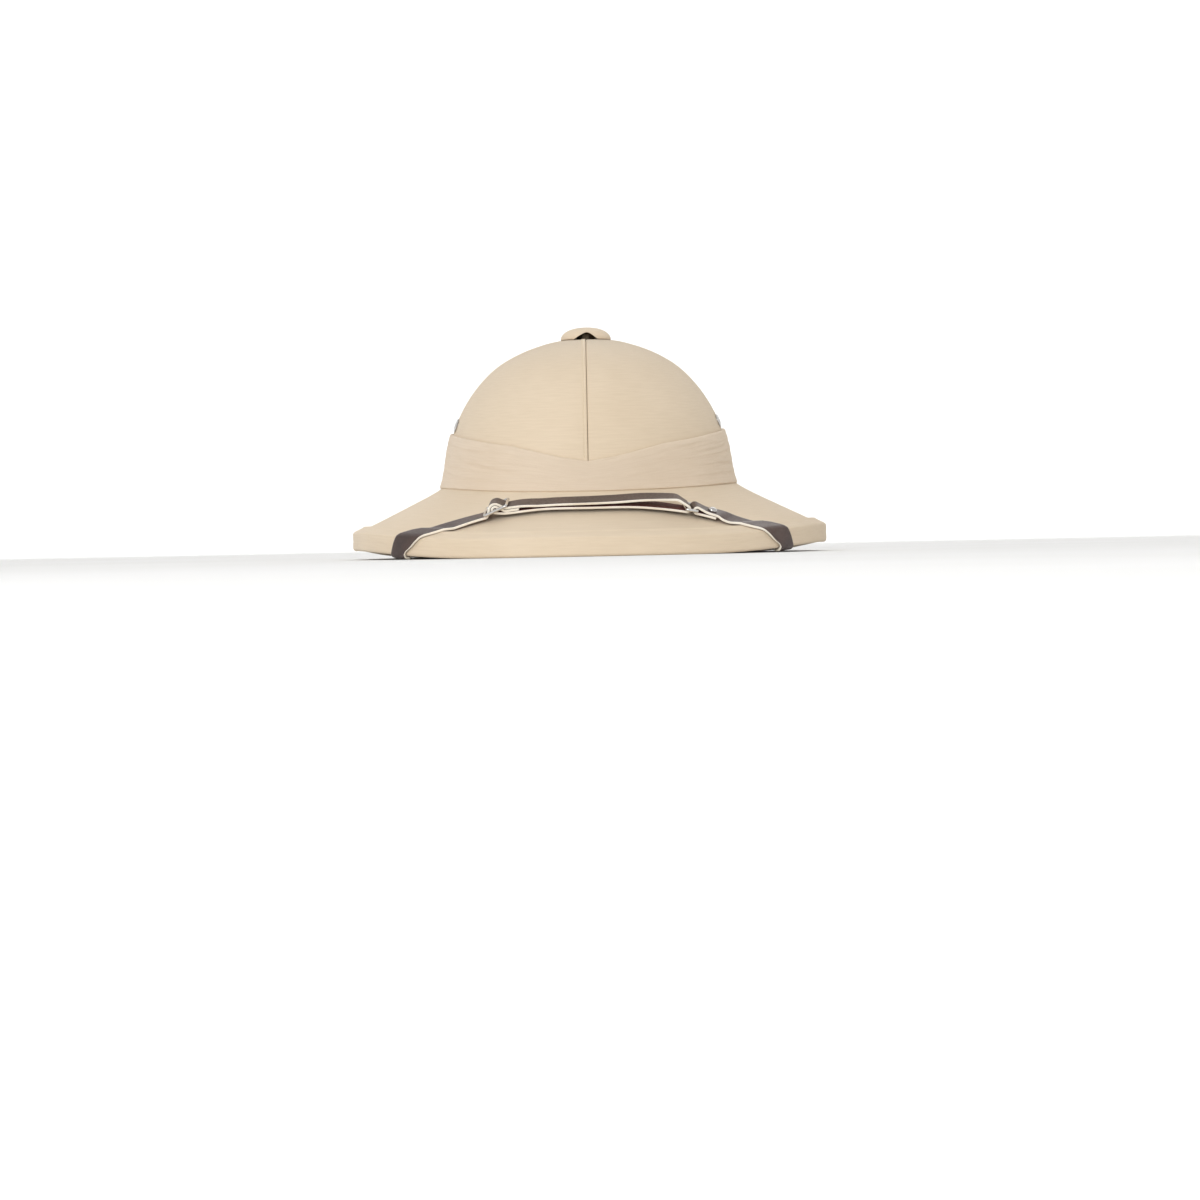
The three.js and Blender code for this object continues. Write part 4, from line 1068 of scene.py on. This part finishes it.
def row_at(value, rows):
    """Where values lie on evenly spaced rows: the row before each, and the share of the way on."""
    place = np.clip((value - rows[0]) / (rows[1] - rows[0]), 0, len(rows) - 1.001)
    row = place.astype(int)
    return row, (place - row)[..., None]


def above(azimuth, length, height):
    """Points at a height over the ground. The arguments are arrays of one shape."""
    (i, s), (j, t) = row_at(azimuth, GROUND_TURNS), row_at(length, GROUND_LENGTHS)
    g = GROUND_TABLE
    value = lerp(lerp(g[i, j], g[i, j + 1], t), lerp(g[i + 1, j], g[i + 1, j + 1], t), s)
    normal = unit(value[..., 2:])
    r = value[..., 0] + height * normal[..., 0]
    z = value[..., 1] + height * normal[..., 1]
    return np.stack([r * np.sin(azimuth), CROWN_Y - r * np.cos(azimuth), z], axis=-1)


def place_to_length(azimuth, place):
    marks = ground_outline(azimuth)[3]
    whole = min(int(place), len(marks) - 2)
    return lerp(marks[whole], marks[whole + 1], place - whole)


def catmull_rom(points, step):
    """A centripetal Catmull-Rom curve, sampled about every step."""
    p = np.vstack([2 * points[0] - points[1], points, 2 * points[-1] - points[-2]])
    made = []
    for i in range(1, len(p) - 2):
        p0, p1, p2, p3 = p[i - 1:i + 3]
        chords = np.linalg.norm(np.diff(p[i - 1:i + 3], axis=0), axis=1)
        t = np.cumsum([0, *np.sqrt(np.maximum(chords, 1e-6))])
        count = max(2, int(round(np.linalg.norm(p2 - p1) / step)))
        for u in np.linspace(t[1], t[2], count, endpoint=False):
            a1 = lerp(p0, p1, (u - t[0]) / (t[1] - t[0]))
            a2 = lerp(p1, p2, (u - t[1]) / (t[2] - t[1]))
            a3 = lerp(p2, p3, (u - t[2]) / (t[3] - t[2]))
            b1 = lerp(a1, a2, (u - t[0]) / (t[2] - t[0]))
            b2 = lerp(a2, a3, (u - t[1]) / (t[3] - t[1]))
            made.append(lerp(b1, b2, (u - t[1]) / (t[2] - t[1])))
    made.append(points[-1])
    return np.array(made)


AZIMUTH_SCALE = 150


def strap_ground():
    def side(rows, reach):
        rows = [(math.radians(degrees) * reach, place) for degrees, place in rows]
        return [[azimuth * AZIMUTH_SCALE, place_to_length(azimuth, place)] for azimuth, place in rows]

    right = side(ROUTE[1:], -RIGHT_REACH)[::-1]
    curve = catmull_rom(np.array(right + side(ROUTE, 1)), 1.0)
    azimuth, length = curve[:, 0] / AZIMUTH_SCALE, curve[:, 1]
    places = above(azimuth, length, np.zeros(len(curve)))
    distance = lengths_along(places)
    distance -= distance[np.argmax(azimuth >= 0)]
    index = np.arange(len(curve))
    ahead = places[np.minimum(index + 3, len(curve) - 1)]
    behind = places[np.maximum(index - 3, 0)]
    reach = 2 * STRAP_THICKNESS
    turn = reach / (2 * AZIMUTH_SCALE)
    zero = np.zeros(len(curve))
    one = (above(azimuth + turn, length, zero) - above(azimuth - turn, length, zero)) / (2 * turn)
    two = (above(azimuth, length + reach, zero) - above(azimuth, length - reach, zero)) / (2 * reach)
    across = unit(np.cross(np.cross(one, two), ahead - behind))
    g11, g12, g22 = [(x * y).sum(1) for x, y in ((one, one), (one, two), (two, two))]
    b1, b2 = (across * one).sum(1), (across * two).sum(1)
    det = g11 * g22 - g12 * g12
    return distance, azimuth, length, (b1 * g22 - b2 * g12) / det, (b2 * g11 - b1 * g12) / det


WAY = strap_ground()
WAY_START, WAY_END = WAY[0][0], WAY[0][-1]


def ground_at(distance, across):
    azimuth, length, turn, shift = [np.interp(distance, WAY[0], WAY[k]) for k in (1, 2, 3, 4)]
    return azimuth + across * turn, length + across * shift


def way_point(distance, height, across):
    distance, height, across = np.broadcast_arrays(
        *[np.asarray(v, float) for v in (distance, height, across)])
    azimuth, length = ground_at(distance, across)
    middle = np.interp(distance, WAY[0], WAY[2])
    stand = EDGE_STAND * (1 - smoothstep(middle, *EDGE_ZONE)) * (0.5 + across / STRAP_WIDTH)
    return above(azimuth, length, height + stand)


SHEAR_REACH, SHEAR_HALVINGS = 18, 20
SHEAR_ZONE = (-24, -9, 20, 38)


def shear(distance, across):
    """How far along one edge a section moves so that it lies along the rim."""
    length = float(ground_at(distance, 0)[1])
    start, full, full_end, end = SHEAR_ZONE
    share = smoothstep(length, start, full) * (1 - smoothstep(length, full_end, end))
    if share == 0:
        return 0
    falling = 1 if distance > 0 else -1
    low, high = -SHEAR_REACH, SHEAR_REACH
    for _ in range(SHEAR_HALVINGS):
        middle = (low + high) / 2
        if (float(ground_at(distance + middle, across)[1]) - length) * falling > 0:
            high = middle
        else:
            low = middle
    return share * (low + high) / 2


def belt(pulleys, arc_step):
    """A side view of the strap as a belt over pulleys: (along, height, radius, turn) rows."""
    directions = []
    for last, this in zip(pulleys, pulleys[1:]):
        gap = (this[0] - last[0], this[1] - last[1])
        slack = last[2] * last[3] - this[2] * this[3]
        directions.append(math.atan2(gap[1], gap[0]) - math.asin(slack / math.hypot(*gap)))

    def arc(pulley, angle):
        along, height, radius, turn = pulley
        out = radius * turn
        return np.array([along - out * math.sin(angle), height + out * math.cos(angle)])

    runs = [[arc(pulleys[0], directions[0])]]
    for pulley, last, this in zip(pulleys[1:], directions, directions[1:]):
        if pulley[2] == 0:
            runs.append([arc(pulley, 0)])
            continue
        swing = ((this - last) * -pulley[3]) % (2 * math.pi)
        parts = max(2, math.ceil(swing / arc_step))
        runs.append([arc(pulley, last - pulley[3] * swing * j / parts) for j in range(parts + 1)])
    return [*runs, [arc(pulleys[-1], directions[-1])]]


BEND_REACH = 7


def strap_line(pulleys):
    """The strap's middle line in its side view: dense points, with the bends rounded."""
    runs = belt(pulleys, math.radians(9))
    points = []
    for i, run in enumerate(runs):
        if len(run) > 1 or i in (0, len(runs) - 1):
            points.extend(run)
            continue
        corner, before, after = run[0], points[-1], runs[i + 1][0]
        size = [min(BEND_REACH, BEND_SHARE * np.linalg.norm(p - corner)) for p in (before, after)]
        points.extend(bend(before, corner, after, size, 8))
    return split_long(np.array(points), 1.0)


# The strap's cross-section, as shares of half its width and thickness, and what each side shows
GRAIN_SIDE, FLESH_SIDE, CUT_SIDE = 0, 1, 2
EDGE_ROLL = 3


def strap_section():
    top = [(s, 1) for s in np.linspace(-0.965, 0.965, 13)]
    right = [(0.99, 0.86), (1, 0.55), (1, 0), (1, -0.55), (0.99, -0.86)]
    bottom = [(s, -1) for s in np.linspace(0.965, -0.965, 13)]
    left = [(-0.99, -0.86), (-1, -0.55), (-1, 0), (-1, 0.55), (-0.99, 0.86)]
    points = [*top, *right, *bottom, *left]
    kinds = [GRAIN_SIDE] * 12 + [CUT_SIDE] * 6 + [FLESH_SIDE] * 12 + [CUT_SIDE] * 6
    return points, kinds


def add_strap(name, node, pulleys):
    line = strap_line(pulleys)
    shape, kinds = strap_section()
    half = STRAP_WIDTH / 2
    across = np.array([s[0] for s in shape]) * half
    forward = math.copysign(1, pulleys[1][0] - pulleys[0][0])
    lift = forward * np.array([s[1] for s in shape]) * STRAP_THICKNESS / 2
    sections = []
    for point, normal in zip(line, normals_of(line)):
        near, far = shear(point[0], -half), shear(point[0], half)
        moved = np.where(across < 0, near * -across, far * across) / half
        distance, height = point[0] + lift * normal[0] + moved, point[1] + lift * normal[1]
        # It starts in the middle of the near edge, so that the ends close from edge to edge
        sections.append(np.roll(way_point(distance, height, across), EDGE_ROLL, axis=0))
    strap = sweep(name, sections, [GRAIN, FLESH, CUT], False, strips=np.roll(kinds, EDGE_ROLL))
    ends = len(strap.data.polygons) - 2 * (len(shape) // 2 - 1)
    for face in strap.data.polygons[ends:]:
        face.material_index = CUT_SIDE
    finish_mesh(strap, [node], 50)


LEFT_BAR = (SLIDER_PLACE - SLIDER_PITCH, BASE + NEAR_BAR)
RIGHT_BAR = (SLIDER_PLACE + SLIDER_PITCH, LEFT_BAR[1] + 2 * ON_STRAP)
MIDDLE_BAR = (SLIDER_PLACE, (LEFT_BAR[1] + RIGHT_BAR[1]) / 2)
RING_LEFT = (RING_PLACE, BASE + NEAR_BAR)
RING_RIGHT = (RING_PLACE + RING_PITCH, RING_LEFT[1])
RIVET_AT = RING_RIGHT[0] + RIVET_PLACE
TAIL = SLIDER_PLACE + SLIDER_TAIL
FOLD = RING_RIGHT[0] + FOLD_TAIL
BULGE = (RING_PLACE - BULGE_PLACE, BASE + BULGE_HEIGHT - BULGE_RADIUS)

LONG_STRAP = [
    (WAY_START, BASE, 0, 1),
    (*LEFT_BAR, NEAR_BAR, -1),
    (*MIDDLE_BAR, NEAR_BAR + ON_STRAP, 1),
    (*RIGHT_BAR, NEAR_BAR, -1),
    (TAIL + PAST_TAIL, BASE + 2 * ON_STRAP, 0, 1),
    (TAIL + PAST_TAIL + SINK, BASE + ON_STRAP + SLACK, 0, 1),
    (RING_PLACE - LIFT, BASE + ON_STRAP + 2 * SLACK, 0, 1),
    (RING_PLACE - RISE, BASE + ON_STRAP + 3 * SLACK, 0, 1),
    (*BULGE, BULGE_RADIUS, 1),
    (*RING_LEFT, NEAR_BAR, 1),
    (RIGHT_BAR[0] - WIRE / 2, BASE, 0, 1),
    (*MIDDLE_BAR, NEAR_BAR, 1),
    (*RIGHT_BAR, NEAR_BAR + ON_STRAP, -1),
    (TAIL, BASE + ON_STRAP, 0, 1),
]

SHORT_STRAP = [
    (WAY_END, BASE, 0, 1),
    (FOLD + PAST_TAIL + SHORT_SINK, BASE, 0, 1),
    (FOLD + PAST_TAIL, BASE + ON_STRAP, 0, 1),
    (RIVET_AT - RIVET_HEAD / 2 - GAP, BASE + ON_STRAP, 0, 1),
    (*RING_RIGHT, NEAR_BAR, -1),
    (FOLD, BASE, 0, 1),
]


FRAME_HALF = STRAP_WIDTH / 2 + FRAME_ROOM + WIRE / 2
FRAME_CORNER, WIRE_STEP, WIRE_SIDES = 1.4, 2.5, 16


def wire(name, path, looped):
    path = split_long(np.array(path), WIRE_STEP)
    if looped:
        way = np.roll(path, -1, axis=0) - np.roll(path, 1, axis=0)
    else:
        way = np.vstack([path[1:2] - path[:1], path[2:] - path[:-2], path[-1:] - path[-2:-1]])
    third, two_thirds = path[len(path) // 3], path[2 * len(path) // 3]
    flat = unit(np.cross(third - path[0], two_thirds - path[0]) + [0, 0, 1e-9])
    angles = np.array(turns(WIRE_SIDES))[:, None]
    sections = []
    for point, onward in zip(path, unit(way)):
        side = unit(np.cross(onward, flat))
        arrows = np.cos(angles) * side + np.sin(angles) * np.cross(side, onward)
        sections.append(point + WIRE / 2 * arrows)
    return sweep(name, sections, [STEEL], looped)


def add_frame(name, first_bar, last_bar, inner=None):
    """A wire frame with rounded corners, and a bar across it where there is an inner one."""
    (a, b), (d, c), *bars = [
        [way_point(*bar, side) for side in (-FRAME_HALF, FRAME_HALF)]
        for bar in (first_bar, last_bar, inner) if bar
    ]
    path = []
    for before, corner, after in ((d, a, b), (a, b, c), (b, c, d), (c, d, a)):
        path.extend(bend(before, corner, after, (FRAME_CORNER, FRAME_CORNER), 6))
    loop = wire(name + "_wire", path, True)
    bars = [wire(name + "_bar", bar, False) for bar in bars]
    if bars:
        combine(loop, bars, "UNION", "EXACT")
        remove(bars)
    finish_mesh(loop, [name], 60)


def add_rivets():
    half = RIVET_HEAD / 2
    rows = [
        ("strap_rivet", RIVET_AT, 2 * ON_STRAP, GAP),
        ("anchor_rivet_left", WAY_END - STRAP_WIDTH / 2, ON_STRAP + GAP, -CROWN_PITH),
        ("anchor_rivet_right", WAY_START + STRAP_WIDTH / 2, ON_STRAP + GAP, -CROWN_PITH),
    ]
    for name, along, top, foot in rows:
        across = way_point(along, top, half) - way_point(along, top, -half)
        onward = way_point(along + half, top, 0) - way_point(along - half, top, 0)
        outward = unit(np.cross(across, onward))
        place = way_point(along, top, 0) - top * outward
        base = top + GAP + SEAT_EASE
        shank, under = RIVET_SHANK / 2, base - 0.1
        head = [(shank, foot), (shank, under), (half - 0.25, under)]
        for angle in quarter(12):
            head.append((half * math.cos(angle), base + RIVET_DOME * math.sin(angle)))
        head[-1] = (0, base + RIVET_DOME)
        piece = lathe(name + "_domed", [(0, foot), *head], 40, [STEEL], place, outward)
        finish_mesh(piece, [name], 50)


# Stage: a pale floor that turns up into a round wall, and soft light

FLOOR_RADIUS, WALL_HEIGHT, WALL_TURN = 6.0, 2.5, 2.0


def add_stage():
    level = FLOOR_RADIUS - WALL_TURN
    profile = [(r, 0.0) for r in np.linspace(0.02, level, 24)]
    for angle in quarter(12)[1:]:
        profile.append((level + WALL_TURN * math.sin(angle), WALL_TURN * (1 - math.cos(angle))))
    profile.append((FLOOR_RADIUS, WALL_TURN + WALL_HEIGHT))
    sides = 96
    rings = [(r * math.cos(a), r * math.sin(a), z) for r, z in profile for a in turns(sides)]
    points = np.array([(0, 0, 0), *rings]) / MM
    faces = [[0, 1 + k, 1 + (k + 1) % sides] for k in range(sides)]
    faces.extend([a, d, c, b] for a, b, c, d in ring_faces(len(profile), sides, 1))
    shader = Shader("floor")
    shade = shader.range(shader.noise(shader.place(), 3, 2), 0.3, 0.7)
    shader.set(
        Base_Color=shader.tint(shade, (246, 246, 246), (243, 243, 242)),
        Roughness=0.9,
        Specular_IOR_Level=0.1,
    )
    floor = make_mesh("floor", points, faces, [shader.material])
    floor.data.polygons.foreach_set("use_smooth", np.ones(len(floor.data.polygons), bool))


# Place, aim, size, power and share of gloss
MIDDLE = (0, 0, 0.07)
LIGHTS = {
    "key": ((-0.8, -2.5, 1.0), MIDDLE, 1.4, 26, 1.0),
    "fill": ((1.3, -2.2, 0.7), MIDDLE, 1.6, 0.8, 1.0),
    "back": ((0.3, 1.9, 1.9), MIDDLE, 1.8, 6, 0.2),
    "wall": ((0, 2.6, 2.4), (0, FLOOR_RADIUS, 0.6), 2.4, 60, 0.2),
}


def add_lights():
    for name, (place, aim, size, power, gloss) in LIGHTS.items():
        data = bpy.data.lights.new(name, "AREA")
        data.shape, data.size, data.energy, data.specular_factor = "DISK", size, power, gloss
        light = put_in_scene(name, data)
        light.location = place
        light.rotation_mode = "QUATERNION"
        light.rotation_quaternion = (Vector(aim) - Vector(place)).to_track_quat("-Z", "Y")
    world = bpy.data.worlds.new("sky")
    bpy.context.scene.world = world
    world.use_nodes = True
    background = world.node_tree.nodes["Background"]
    background.inputs["Color"].default_value = (1.0, 0.995, 0.985, 1)
    background.inputs["Strength"].default_value = 0.77
    bpy.context.scene.view_settings.view_transform = "Standard"


add_camera()
cutters = eyelet_cutters()
add_shell(cutters)
add_crown_covers(cutters)
remove(cutters)
add_eyelets()
add_brim()
add_binding()
add_puggaree()
add_seams()
add_vent_cap()
add_strap("chin_strap_leather", "chin_strap", LONG_STRAP)
add_strap("short_strap_leather", "short_strap", SHORT_STRAP)
add_frame("strap_slider", LEFT_BAR, RIGHT_BAR, MIDDLE_BAR)
add_frame("strap_ring", RING_LEFT, RING_RIGHT)
add_rivets()
for slot in NODES["vent_post"].material_slots:
    slot.material = POST_STEEL
add_stage()
add_lights()
